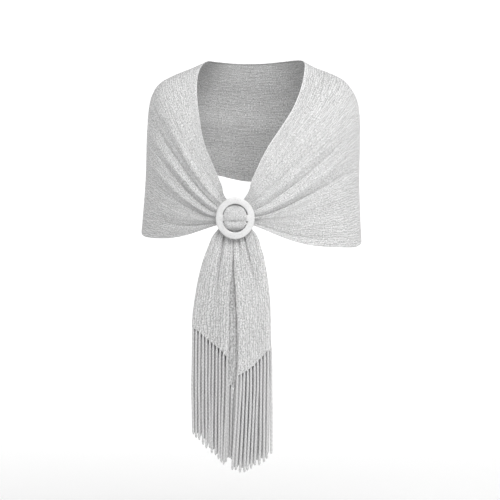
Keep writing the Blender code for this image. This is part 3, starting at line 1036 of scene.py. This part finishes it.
@dataclass
class Fringe:
    """The twisted cords of one tail, spaced evenly along its folded section.

    Attributes:
        tail: The tail that they hang from.
        pitch: Distance from one cord to the next.
        radius: Half a cord's thickness.
        twist: Length of one full turn of the plies.
        lobes: How far the plies stand out, as a share of the radius.
        sway: How far a cord strays sideways by its tip.
        waver: How far it wavers to either side on its way down.
        waver_length: Length of one such stray.
        waver_step: How far one cord's strays are from the next one's, in the soft noise.
        uneven: How much a cord's length varies either way.
        overlap: How far above the cloth's end a cord starts.
        root: Its thickness at the root against its full one, and the share of its length by
            which it is full.
        tip: How much of its thickness it loses at the tip, and over which share.
        shade: How much darker the cords are painted, as painted shade, against the plies'
            relief.
        rings: Rings of points down a cord.
        sides: Points in a ring.
        samples: Points that the section's length is measured at.
        seed: Which set of random numbers to use.
    """

    tail: Tail
    pitch: float = 0.0064
    radius: float = 0.0025
    twist: float = 0.009
    lobes: float = 0.09
    sway: float = 0.0012
    waver: float = 0.0007
    waver_length: float = 0.05
    waver_step: float = 1.7
    uneven: float = 0.0036
    overlap: float = 0.003
    root: Pair = (0.55, 0.06)
    tip: Pair = (0.5, 0.015)
    shade: float = 0.0
    rings: int = 60
    sides: int = 8
    samples: int = 600
    seed: int = 3

    def ways(self) -> Array:
        """Places of the cords along the folded section, a pitch apart at the cloth's end."""
        way = np.linspace(0, 1, self.samples)
        line = self.tail.place(self.tail.end(way), way)[:, :2]
        run = np.r_[0, np.cumsum(np.linalg.norm(np.diff(line, axis=0), axis=1))]
        count = round((run[-1] - self.pitch) / self.pitch)
        return np.interp(np.linspace(self.pitch / 2, run[-1] - self.pitch / 2, count), run, way)

    def build(self, finish: bpy.types.Material) -> bpy.types.Object:
        """Make all the cords as one mesh.

        A cord is a tube about a line that follows its tail's hang. Its radius is the cord's,
        times 1 plus the lobes times cos 2(angle - turn), where the turn goes round once in a
        twist's length, and it draws in at the root and at the tip. The line strays sideways
        with the power 1.5 of the way down.

        Args:
            finish: The cords' material.

        Returns:
            The finished piece.
        """
        ways = self.ways()
        rng = np.random.default_rng(self.seed)
        cord = len(ways)
        drift = rng.uniform(-1, 1, (2, cord, 1)) * self.sway
        starts = self.tail.end(ways) - self.overlap
        tips = self.tail.tip(ways) + rng.uniform(-1, 1, cord) * self.uneven
        share = np.linspace(0, 1, self.rings)[None, :]
        drop = starts[:, None] + (tips - starts)[:, None] * share
        line = self.tail.place(drop, np.broadcast_to(ways[:, None], drop.shape))
        line[..., :2] += np.moveaxis(drift * share ** 1.5, 0, -1)
        line[..., 0] += self.waver * soft_noise(
            drop / self.waver_length, np.arange(cord)[:, None] * self.waver_step + self.seed,
            CORD_SEED)
        angle = np.linspace(0, 2 * np.pi, self.sides, endpoint=False)
        turn = 2 * np.pi * drop / self.twist + rng.uniform(0, 2 * np.pi, cord)[:, None]
        lobe = np.cos(2 * (angle - turn[..., None] / 2))
        taper = ((self.root[0] + (1 - self.root[0]) * ramp(share, 0, self.root[1]))
                 * (1 - self.tip[0] * ramp(share, 1 - self.tip[1], 1.0) ** 2))
        radius = self.radius * taper[..., None] * (1 + self.lobes * lobe)
        tube = line[:, :, None, :] + radius[..., None] * vectors(np.cos(angle), np.sin(angle),
                                                                 0.0)
        size = self.rings * self.sides
        first = np.arange(cord) * size
        faces = (grid_faces(0, self.rings, self.sides, around=True)[None] +
                 first[:, None, None]).reshape(-1, 4)[:, ::-1]
        cap = np.arange(self.sides)
        caps = [first[:, None] + cap[None], first[:, None] + size - self.sides + cap[None, ::-1]]
        coordinates = np.stack(np.broadcast_arrays(
            drop[..., None], ways[:, None, None] + angle * self.radius), axis=-1)
        # Painted shade over all of a fringe's cords.
        relief = np.clip(0.5 + 0.5 * np.broadcast_to(lobe, radius.shape), 0, 1) - self.shade
        name = self.tail.side.word + "_fringe_cords"
        piece = make_mesh(name, tube.reshape(-1, 3), [faces, *caps],
                          coordinates.reshape(-1, 2), relief.ravel())
        LOG.info("%s: %d cords", name, cord)
        return dress(piece, finish, "cord", self.tail.side.word + "_fringe")


@dataclass
class RingGather(ClothStretch):
    """The gathered cloth through the ring, crowned over its bar. "across" goes side to side.

    Attributes:
        line: Height, depth, half breadth, fall of the sides and shade, from above to below.
        centre_x: The ring's middle.
        edge_fall: How far the two side edges turn back, close to the end.
    """

    line: Table = None
    centre_x: float = -0.0305
    edge_fall: float = 0.0030

    def __post_init__(self) -> None:
        """Add each row's share of the way along the line."""
        knots = np.r_[0, np.cumsum(np.hypot(np.diff(self.line["z"]), np.diff(self.line["y"])))]
        self.line.columns["run"] = knots / knots[-1]

    def depth(self, along: Array, across: Array) -> Array:
        """The line's own painted shade, darkest in the crease under the bar."""
        return np.clip(self.line.read("run", "shade", along), 0, 1) + 0 * across

    def form(self, along: Array, across: Array) -> Array:
        """A strip along the line.

        Its sides fall back with the square of the way out from its middle, and its two edges
        more sharply, with the eighth power.
        """
        side = 2 * across - 1
        y, z, half, fall = (self.line.read("run", name, along)
                            for name in ("y", "z", "half", "fall"))
        return vectors(self.centre_x + half * side,
                       y + fall * side ** 2 + self.edge_fall * side ** 8, z)


@dataclass
class RingSlide:
    """The oval ring with its flat bar.

    Attributes:
        centre: The oval's middle.
        half_width: Outer oval, across.
        half_height: Outer oval, up.
        band: Breadth of the band.
        depth: Thickness of the band.
        bar_half_height: Half the bar's height.
        bar_half_depth: Half the bar's thickness.
        bar_y: The bar's middle, front to back.
        turns: Steps round the oval.
        section: Points round its section.
        steps: Steps along the bar.
        squareness: Powers of cos and sin in the section, smaller where it is squarer.
    """

    centre: Triple = (-0.0305, -0.1475, -0.2709)
    half_width: float = 0.0375
    half_height: float = 0.0404
    band: float = 0.0131
    depth: float = 0.0060
    bar_half_height: float = 0.0060
    bar_half_depth: float = 0.0017
    bar_y: float = -0.1493
    turns: int = 160
    section: int = 40
    steps: int = 24
    squareness: Pair = (0.42, 0.75)

    def outline(self, half_out: float, half_deep: float) -> tuple[Array, Array]:
        """A flat oblong with round corners: cos and sin of an angle, each to a small power."""
        angle = np.linspace(0, 2 * np.pi, self.section, endpoint=False)
        out, deep = (half * np.sign(wave) * np.abs(wave) ** power
                     for half, wave, power in zip((half_out, half_deep),
                                                  (np.cos(angle), np.sin(angle)),
                                                  self.squareness))
        return out, deep

    def oval(self) -> bpy.types.Object:
        """The band: its section carried round an oval, with the same breadth all round."""
        out, front = self.outline(self.band / 2, self.depth / 2)
        angle = np.linspace(0, 2 * np.pi, self.turns, endpoint=False)[:, None]
        x, y, z = self.centre
        points = vectors(x + (self.half_width - self.band / 2 + out) * np.cos(angle),
                         y - front + 0 * angle,
                         z + (self.half_height - self.band / 2 + out) * np.sin(angle))
        faces = grid_faces(0, self.turns, self.section, around=True, closed=True)[:, ::-1]
        flat = points.reshape(-1, 3)
        return make_mesh(RING, flat, [faces], flat[:, [0, 2]],
                         np.ones(len(flat)))

    def bar(self) -> bpy.types.Object:
        """The bar: a round-cornered oblong carried from one side of the band to the other."""
        high, deep = self.outline(self.bar_half_height, self.bar_half_depth)
        reach = self.half_width - self.band / 2
        along = np.linspace(-reach, reach, self.steps)[:, None]
        points = vectors(self.centre[0] + along, self.bar_y + deep + 0 * along,
                         self.centre[2] + high + 0 * along)
        faces = grid_faces(0, len(along), self.section, around=True)
        cap = np.arange(self.section)[None]
        last = cap + (len(along) - 1) * self.section
        flat = points.reshape(-1, 3)
        return make_mesh("ring_bar", flat, [faces, cap, last[:, ::-1]], flat[:, [0, 2]],
                         np.ones(len(flat)))

    def build(self, finish: bpy.types.Material) -> bpy.types.Object:
        """Join the band and its bar into one solid, and dress it.

        Args:
            finish: The ring's material.

        Returns:
            The finished piece.
        """
        ring, bar = self.oval(), self.bar()
        joint = ring.modifiers.new("bar", "BOOLEAN")
        joint.operation = "UNION"
        joint.object = bar
        evaluated = ring.evaluated_get(bpy.context.evaluated_depsgraph_get())
        joined = bpy.data.meshes.new_from_object(evaluated)
        ring.modifiers.clear()
        ring.data = joined
        bpy.data.objects.remove(bar)
        joined.shade_smooth()
        joined.set_sharp_from_angle(angle=RING_CREASE)
        return dress(ring, finish, "ring", "ring_slide")


# ------------------------------------------------------------------ the stole
@dataclass
class Stole:
    """The whole stole: its cloth in stretches, its fringes and its ring.

    Attributes:
        right_length: Flat length of the right front.
        back_length: Flat length of the back.
        left_length: Flat length of the left front.
        gather_length: Flat length of the cloth through the ring.
        right_tail_length: Flat length of the right tail.
        left_tail_length: Flat length of the left tail.
        right_tail_start: Metres along the cloth at the right tail's top. It and the next lie
            clear of the other stretches, so that no crinkle shows twice.
        left_tail_start: The same for the left tail.
    """

    right_length: float = 0.265
    back_length: float = 0.56
    left_length: float = 0.315
    gather_length: float = 0.085
    right_tail_length: float = 0.228
    left_tail_length: float = 0.260
    right_tail_start: float = 1.4
    left_tail_start: float = 2.1

    def right_front(self) -> Front:
        """The wearer's right front."""
        arm = Table("across x z", (
            (0.00, -0.0965, 0.0280),
            (0.08, -0.1190, 0.0200),
            (0.16, -0.1495, 0.0085),
            (0.25, -0.1810, -0.0095),
            (0.33, -0.1967, -0.0345),
            (0.40, -0.2027, -0.0600),
            (0.50, -0.2062, -0.1000),
            (0.75, -0.2103, -0.2000),
            (1.00, -0.2188, -0.3020),
        ))
        lines = Table("across arm_x arm_y arm_z ring_x ring_y ring_z end_z", (
            (0.00, -0.041, -0.052, -0.050, -0.056, 0.006, 0.054, -0.2465),
            (0.16, -0.024, -0.050, -0.012, -0.056, 0.000, 0.022, -0.2515),
            (0.36, -0.004, -0.044, 0.008, -0.061, -0.004, -0.020, -0.2575),
            (0.54, 0.000, -0.044, 0.004, -0.072, -0.004, -0.034, -0.2640),
            (0.81, 0.000, -0.053, -0.018, -0.066, 0.001, -0.022, -0.2710),
            (1.00, 0.000, -0.049, -0.031, -0.076, 0.009, -0.016, -0.2760),
        ))
        swing = Table("edge place half x z", (
            (0, 0.36, 0.40, 0.0060, 0.0000),
            (0, 0.72, 0.22, 0.0052, 0.0000),
            (0, 0.93, 0.12, -0.0070, 0.0020),
            (1, 0.58, 0.34, 0.0000, -0.0056),
        ))
        # The dark column is the painted shade at a trough's bottom.
        folds = Table("arm ring half height start full sharp dark", (
            (0.22, 0.155, 0.055, -0.0016, 0.40, 0.80, 0.3, 0.1),
            (0.31, 0.255, 0.060, 0.0040, 0.10, 0.60, 0.0, 0.0),
            (0.44, 0.350, 0.050, -0.0034, 0.00, 0.65, 0.5, 0.3),
            (0.515, 0.405, 0.045, 0.0040, -0.10, 0.60, 0.0, 0.0),
            (0.56, 0.490, 0.050, -0.0038, 0.00, 0.60, 0.5, 0.3),
            (0.66, 0.570, 0.055, 0.0044, 0.00, 0.55, 0.0, 0.0),
            (0.74, 0.670, 0.050, -0.0020, 0.15, 0.55, 0.4, 0.25),
            (0.86, 0.770, 0.060, 0.0022, 0.15, 0.60, 0.0, 0.0),
            (0.91, 0.880, 0.060, -0.0032, 0.15, 0.65, 0.5, 0.3),
        ))
        return Front("right_front_cloth", ("right_front",), self.right_length, Held.DRAPED,
                     (RING,), stations=112, points=340, run=-self.right_length, outward=-1,
                     side=Side.RIGHT, arm=arm, lines=lines, swing=swing, folds=folds, lee=0.15)

    def left_front(self) -> Front:
        """The wearer's left front."""
        arm = Table("across x z", (
            (0.00, 0.1068, 0.0246),
            (0.07, 0.1310, 0.0161),
            (0.13, 0.1560, 0.0095),
            (0.20, 0.1838, -0.0028),
            (0.26, 0.2000, -0.0210),
            (0.33, 0.2115, -0.0450),
            (0.40, 0.2160, -0.0750),
            (0.50, 0.2170, -0.1150),
            (0.75, 0.2156, -0.2160),
            (1.00, 0.2193, -0.3205),
        ))
        lines = Table("across arm_x arm_y arm_z ring_x ring_y ring_z end_z", (
            (0.00, -0.008, -0.064, -0.074, 0.057, 0.006, 0.080, -0.2465),
            (0.16, 0.002, -0.064, -0.028, 0.060, 0.000, 0.036, -0.2515),
            (0.44, 0.000, -0.064, -0.004, 0.068, -0.004, -0.014, -0.2600),
            (0.57, 0.000, -0.060, 0.008, 0.078, -0.004, -0.032, -0.2650),
            (0.90, 0.000, -0.069, -0.030, 0.070, 0.001, -0.004, -0.2715),
            (1.00, 0.000, -0.072, -0.040, 0.077, 0.005, -0.014, -0.2760),
        ))
        swing = Table("edge place half x z", (
            (0, 0.20, 0.24, 0.0016, 0.0000),
            (0, 0.60, 0.30, -0.0102, -0.0010),
            (0, 0.93, 0.14, 0.0100, 0.0030),
            (1, 0.60, 0.34, 0.0000, -0.0098),
        ))
        # The dark column is the painted shade at a trough's bottom.
        folds = Table("arm ring half height start full sharp dark", (
            (0.15, 0.170, 0.045, -0.0014, 0.35, 0.75, 0.3, 0.1),
            (0.24, 0.235, 0.045, 0.0014, 0.35, 0.75, 0.0, 0.0),
            (0.26, 0.300, 0.045, -0.0018, 0.20, 0.75, 0.4, 0.2),
            (0.35, 0.370, 0.050, 0.0026, 0.15, 0.60, 0.0, 0.0),
            (0.42, 0.450, 0.055, -0.0038, 0.05, 0.70, 0.5, 0.35),
            (0.55, 0.510, 0.050, 0.0040, 0.05, 0.65, 0.0, 0.0),
            (0.67, 0.565, 0.055, -0.0050, 0.05, 0.65, 0.5, 0.4),
            (0.74, 0.780, 0.095, 0.0036, 0.10, 0.60, 0.0, 0.0),
            (0.88, 0.850, 0.070, 0.0024, 0.20, 0.60, 0.0, 0.0),
            (0.95, 0.960, 0.045, -0.0026, 0.20, 0.60, 0.5, 0.35),
        ))
        return Front("left_front_cloth", ("left_front",), self.left_length, Held.DRAPED,
                     (RING,), stations=128, points=340, start=self.back_length,
                     run=self.left_length, side=Side.LEFT, arm=arm, lines=lines, swing=swing,
                     folds=folds)

    def back(self, right: Front, left: Front) -> Back:
        """The back, between the two arm lines."""
        middle = Table("across y z slope reach", (
            (0.00, 0.080, 0.0337, 0.00, 0.080),
            (0.18, 0.094, -0.0110, 0.00, 0.105),
            (0.36, 0.106, -0.0540, 0.00, 0.115),
            (0.70, 0.115, -0.1340, -0.03, 0.115),
            (1.00, 0.119, -0.2060, -0.12, 0.115),
        ))
        turn = Table("across share", (
            (0.00, 0.35),
            (0.18, 0.50),
            (0.40, 1.12),
            (1.00, 1.10),
        ))
        folds = Table("across half height reach", (
            (0.30, 0.16, 0.0014, 0.90),
            (0.52, 0.12, -0.0020, 0.75),
            (0.74, 0.13, 0.0016, 0.60),
            (0.90, 0.10, -0.0014, 0.55),
        ))
        return Back("back_cloth", ("back_stretch",), self.back_length, Held.DRAPED,
                    (right.name, left.name), stations=144, points=340,
                    run=self.back_length, first_along=-1.0, right=right, left=left,
                    middle=middle, turn=turn, folds=folds)

    def gather(self) -> RingGather:
        """The cloth over the ring's bar."""
        # The shade column is the painted shade of each row.
        line = Table("z y half fall shade", (
            (-0.2375, -0.1434, 0.0085, 0.0000, 0.0),
            (-0.2440, -0.1434, 0.0080, 0.0000, 0.0),
            (-0.2474, -0.1462, 0.0098, 0.0002, 0.2),
            (-0.2500, -0.1510, 0.0134, 0.0012, 0.0),
            (-0.2530, -0.1548, 0.0166, 0.0026, 0.0),
            (-0.2580, -0.1577, 0.0197, 0.0038, 0.0),
            (-0.2640, -0.1592, 0.0218, 0.0042, 0.0),
            (-0.2700, -0.1590, 0.0224, 0.0038, 0.0),
            (-0.2746, -0.1576, 0.0196, 0.0028, 0.0),
            (-0.2768, -0.1552, 0.0198, 0.0014, 0.2),
            (-0.2790, -0.1553, 0.0214, 0.0018, 0.1),
            (-0.2840, -0.1560, 0.0198, 0.0032, 0.0),
            (-0.2880, -0.1550, 0.0174, 0.0032, 0.0),
            (-0.2915, -0.1515, 0.0142, 0.0020, 0.4),
            (-0.2940, -0.1468, 0.0100, 0.0006, 0.5),
            (-0.2980, -0.1434, 0.0080, 0.0000, 0.0),
            (-0.3045, -0.1434, 0.0086, 0.0000, 0.0),
        ))
        # The gathered cloth gets a painted lift of light.
        return RingGather(GATHER, ("ring_gather",), self.gather_length, Held.GATHERED, (RING,),
                          stations=110, points=120, run=self.gather_length, billow=0.0003,
                          hem=0.02, hem_half=0.0, painted_lift=0.6, width=0.045, spread=0.12,
                          crinkle=Crinkle(height=0.00014, counts=(9.0, 16.0, 25.0)), line=line)

    def right_tail(self) -> Tail:
        """The wearer's right tail, its inner fold tucked back from the other tail."""
        hang = Table("drop outer inner front deep tuck", (
            (0.2820, -0.0510, -0.0345, -0.1405, 0.0090, 0.11),
            (0.2950, -0.0655, -0.0340, -0.1405, 0.0095, 0.11),
            (0.3310, -0.0846, -0.0322, -0.1405, 0.0110, 0.11),
            (0.3735, -0.0987, -0.0308, -0.1395, 0.0120, 0.08),
            (0.4180, -0.1076, -0.0290, -0.1390, 0.0130, 0.01),
            (0.4605, -0.1127, -0.0282, -0.1385, 0.0136, 0.00),
            (0.5100, -0.1140, -0.0286, -0.1380, 0.0140, 0.00),
            (0.8000, -0.1115, -0.0370, -0.1370, 0.0140, 0.00),
        ))
        # The shade column is the painted shade on each part of the section.
        section = Table("way breadth depth end tip tuck shade", (
            (0.000, 0.78, 0.92, 0.5000, 0.7400, 0.0, 0.0),
            (0.130, 0.42, 0.90, 0.4900, 0.7180, 0.0, 0.0),
            (0.240, 0.08, 0.74, 0.4850, 0.6880, 0.0, 0.0),
            (0.285, 0.00, 0.44, 0.4850, 0.6860, 0.0, 0.1),
            (0.330, 0.08, 0.18, 0.4870, 0.6960, 0.0, 0.3),
            (0.400, 0.28, 0.10, 0.5010, 0.7140, 0.0, 0.4),
            (0.460, 0.48, 0.16, 0.5150, 0.7270, 0.2, 0.4),
            (0.520, 0.65, 0.03, 0.5270, 0.7400, 0.5, 0.4),
            (0.575, 0.80, 0.00, 0.5420, 0.7490, 0.9, 0.2),
            (0.600, 0.83, 0.16, 0.5480, 0.7480, 1.0, 0.4),
            (0.625, 0.79, 0.40, 0.5560, 0.7440, 1.0, 0.9),
            (0.655, 0.72, 0.66, 0.5680, 0.7360, 1.0, 0.8),
            (0.685, 0.76, 0.66, 0.5800, 0.7360, 0.8, 0.6),
            (0.760, 1.00, 0.56, 0.6050, 0.7400, 0.1, 0.6),
            (0.790, 1.06, 0.76, 0.6100, 0.7360, 0.0, 0.4),
            (0.820, 0.98, 1.04, 0.6050, 0.7400, 0.0, 0.0),
            (0.900, 0.66, 1.12, 0.5600, 0.7340, 0.0, 0.0),
            (1.000, 0.30, 1.12, 0.5200, 0.7100, 0.0, 0.0),
        ))
        pleats = Table("high low half press full fade", (
            (0.375, 0.385, 0.030, 0.0020, 0.315, 0.390),
            (0.475, 0.455, 0.028, 0.0050, 0.335, 0.440),
            (0.545, 0.530, 0.020, 0.0020, 0.310, 0.360),
        ))
        return Tail("right_tail_cloth", ("right_tail",), self.right_tail_length, Held.HUNG,
                    (GATHER,), stations=90, points=360, start=self.right_tail_start,
                    run=self.right_tail_length, billow=0.0006, spread=CLOTH_WIDTH,
                    side=Side.RIGHT, hang=hang, section=section, pleats=pleats)

    def left_tail(self) -> Tail:
        """The wearer's left tail, its inner edge in front of the other tail."""
        hang = Table("drop outer inner front deep tuck", (
            (0.2820, -0.0110, -0.0325, -0.1405, 0.0090, 0.00),
            (0.2950, 0.0042, -0.0334, -0.1405, 0.0095, 0.00),
            (0.3310, 0.0201, -0.0338, -0.1405, 0.0110, 0.00),
            (0.3735, 0.0296, -0.0325, -0.1400, 0.0120, 0.00),
            (0.4180, 0.0353, -0.0292, -0.1395, 0.0130, 0.00),
            (0.4605, 0.0376, -0.0270, -0.1390, 0.0136, 0.00),
            (0.5100, 0.0387, -0.0257, -0.1385, 0.0140, 0.00),
            (0.8000, 0.0370, -0.0390, -0.1375, 0.0140, 0.00),
        ))
        section = Table("way breadth depth end tip tuck shade", (
            (0.000, 0.20, 0.78, 0.5300, 0.7400, 0.0, 0.0),
            (0.160, 0.76, 0.80, 0.5500, 0.7580, 0.0, 0.0),
            (0.190, 0.82, 0.68, 0.5520, 0.7580, 0.0, 0.0),
            (0.220, 0.76, 0.56, 0.5500, 0.7560, 0.0, 0.0),
            (0.370, 0.10, 0.52, 0.5260, 0.7310, 0.0, 0.0),
            (0.400, 0.00, 0.26, 0.5240, 0.7300, 0.0, 0.0),
            (0.430, 0.08, 0.03, 0.5270, 0.7370, 0.0, 0.0),
            (0.500, 0.30, 0.00, 0.5420, 0.7510, 0.0, 0.0),
            (0.545, 0.44, 0.12, 0.5510, 0.7570, 0.0, 0.0),
            (0.590, 0.57, 0.00, 0.5590, 0.7640, 0.0, 0.0),
            (0.655, 0.78, 0.05, 0.5690, 0.7660, 0.0, 0.0),
            (0.705, 0.95, 0.02, 0.5750, 0.7620, 0.0, 0.0),
            (0.730, 1.00, 0.14, 0.5760, 0.7580, 0.0, 0.0),
            (0.755, 0.95, 0.28, 0.5750, 0.7560, 0.0, 0.0),
            (0.785, 0.89, 0.60, 0.5720, 0.7560, 0.0, 0.0),
            (0.810, 0.86, 0.97, 0.5690, 0.7560, 0.0, 0.0),
            (0.900, 0.46, 1.02, 0.5520, 0.7530, 0.0, 0.0),
            (1.000, 0.06, 0.98, 0.5300, 0.7330, 0.0, 0.0),
        ))
        pleats = Table("high low half press full fade", (
            (0.455, 0.465, 0.025, 0.0020, 0.310, 0.370),
            (0.590, 0.530, 0.026, 0.0048, 0.335, 0.430),
            (0.660, 0.655, 0.020, 0.0034, 0.320, 0.370),
        ))
        return Tail("left_tail_cloth", ("left_tail",), self.left_tail_length, Held.HUNG,
                    (GATHER,), stations=100, points=360, start=self.left_tail_start,
                    run=self.left_tail_length, outward=-1, billow=0.0006, spread=CLOTH_WIDTH,
                    side=Side.LEFT, hang=hang, section=section, pleats=pleats)

    def build(self) -> None:
        cloth, cord, resin = (look.material()
                              for look in (CrinkleCloth(), TwistedCord(), PearlResin()))
        RingSlide().build(resin)
        right, left = self.right_front(), self.left_front()
        for stretch in (right, left, self.back(right, left), self.gather()):
            stretch.declare(stretch.build(cloth), [])
        # The right tail's cords get painted shade.
        for fringe in (Fringe(self.right_tail(), radius=0.00235, shade=0.15, seed=3),
                       Fringe(self.left_tail(), seed=4)):
            tail = fringe.tail
            piece = tail.build(cloth)
            tail.declare(piece, [fringe.build(cord)])


# ------------------------------------------------------------------ the studio
@dataclass(frozen=True)
class SoftLight:
    """A large square light.

    Attributes:
        name: Its name.
        place: Where it stands.
        size: The length of its side.
        power: Its power in watts.
    """

    name: str
    place: Triple
    size: float
    power: float


@dataclass
class Studio:
    """A pale floor that sweeps up behind, soft lights and the camera.

    Attributes:
        target: The point at the middle of the picture.
        distance: From the camera to that point.
        elevation: How far the camera looks down, in degrees.
        lens: Focal length in millimetres.
        sensor: Width of the camera's sensor in millimetres.
        floor_z: Height of the floor, below the longest cord.
        flat: Radius of its flat middle.
        bend: Radius of the curve between floor and wall.
        wall: Height of the wall.
        hole: Radius of the flat piece in the middle, inside the first ring of faces.
        steps: Steps of the curve between floor and wall, and steps round.
        lights: The soft lights.
        sky: Brightness of the even light from all round.
    """

    target: Triple = (-0.002, 0.0, -0.34)
    distance: float = 4.0
    elevation: float = 3.0
    lens: float = 144.0
    sensor: float = 36.0
    floor_z: float = -1.02
    flat: float = 5.0
    bend: float = 1.5
    wall: float = 6.0
    hole: float = 0.05
    steps: tuple[int, int] = (16, 96)
    lights: tuple[SoftLight, ...] = (
        SoftLight("right_top", (2.0, -2.6, 2.6), 2.0, 66.0),
        SoftLight("top_front", (0.3, -3.0, 2.8), 2.0, 98.0),
    )
    sky: float = 0.0

    def build(self) -> None:
        """Make the floor, the world's light, the lights and the camera."""
        self.floor()
        world = bpy.data.worlds.new("studio")
        world.use_nodes = True
        background = world.node_tree.nodes["Background"]
        background.inputs["Color"].default_value = grey(1.0)
        background.inputs["Strength"].default_value = self.sky
        bpy.context.scene.world = world
        bpy.context.scene.view_settings.view_transform = "Standard"
        for light in self.lights:
            data = bpy.data.lights.new(light.name, "AREA")
            data.size = light.size
            data.energy = light.power
            lamp = bpy.data.objects.new(light.name, data)
            lamp.visible_camera = False
            aim = np.array(self.target) - np.array(light.place)
            self.point(lamp, light.place, aim)
        camera = bpy.data.cameras.new("camera")
        camera.lens = self.lens
        camera.sensor_width = self.sensor
        tilt = math.radians(self.elevation)
        forward = np.array((0.0, math.cos(tilt), -math.sin(tilt)))
        holder = bpy.data.objects.new("camera", camera)
        self.point(holder, tuple(np.array(self.target) - self.distance * forward), forward)
        bpy.context.scene.camera = holder
        LOG.info("studio: %d lights", len(self.lights))

    def point(self, thing: bpy.types.Object, place: tuple[float, ...], way: Array) -> None:
        """Put a light or the camera at a place, looking along a direction."""
        bpy.context.scene.collection.objects.link(thing)
        thing.location = place
        thing.rotation_mode = "QUATERNION"
        thing.rotation_quaternion = Vector(way).to_track_quat("-Z", "Y")

    def floor(self) -> None:
        """A round sheet of paper, flat in the middle and curved up into a wall all round.

        The profile is a line out, a quarter circle up and a line up, turned round the
        vertical axis.
        """
        turn = np.linspace(0, np.pi / 2, self.steps[0])
        radius = np.r_[self.hole, self.flat + self.bend * np.sin(turn), self.flat + self.bend]
        z = np.r_[0.0, self.bend * (1 - np.cos(turn)), self.wall] + self.floor_z
        angle = np.linspace(0, 2 * np.pi, self.steps[1], endpoint=False)
        points = vectors(radius[:, None] * np.cos(angle), radius[:, None] * np.sin(angle),
                         z[:, None] + 0 * angle).reshape(-1, 3)
        faces = grid_faces(0, len(radius), len(angle), around=True)
        middle = np.arange(len(angle))[None]
        paper = make_mesh("studio_floor", points, [faces, middle], points[:, :2],
                          np.ones(len(points)))
        paper.data.materials.append(PaleFloor().material())


def main() -> None:
    logging.basicConfig(level=logging.INFO, format="%(message)s")
    Stole().build()
    Studio().build()


if __name__ == "__main__":
    main()
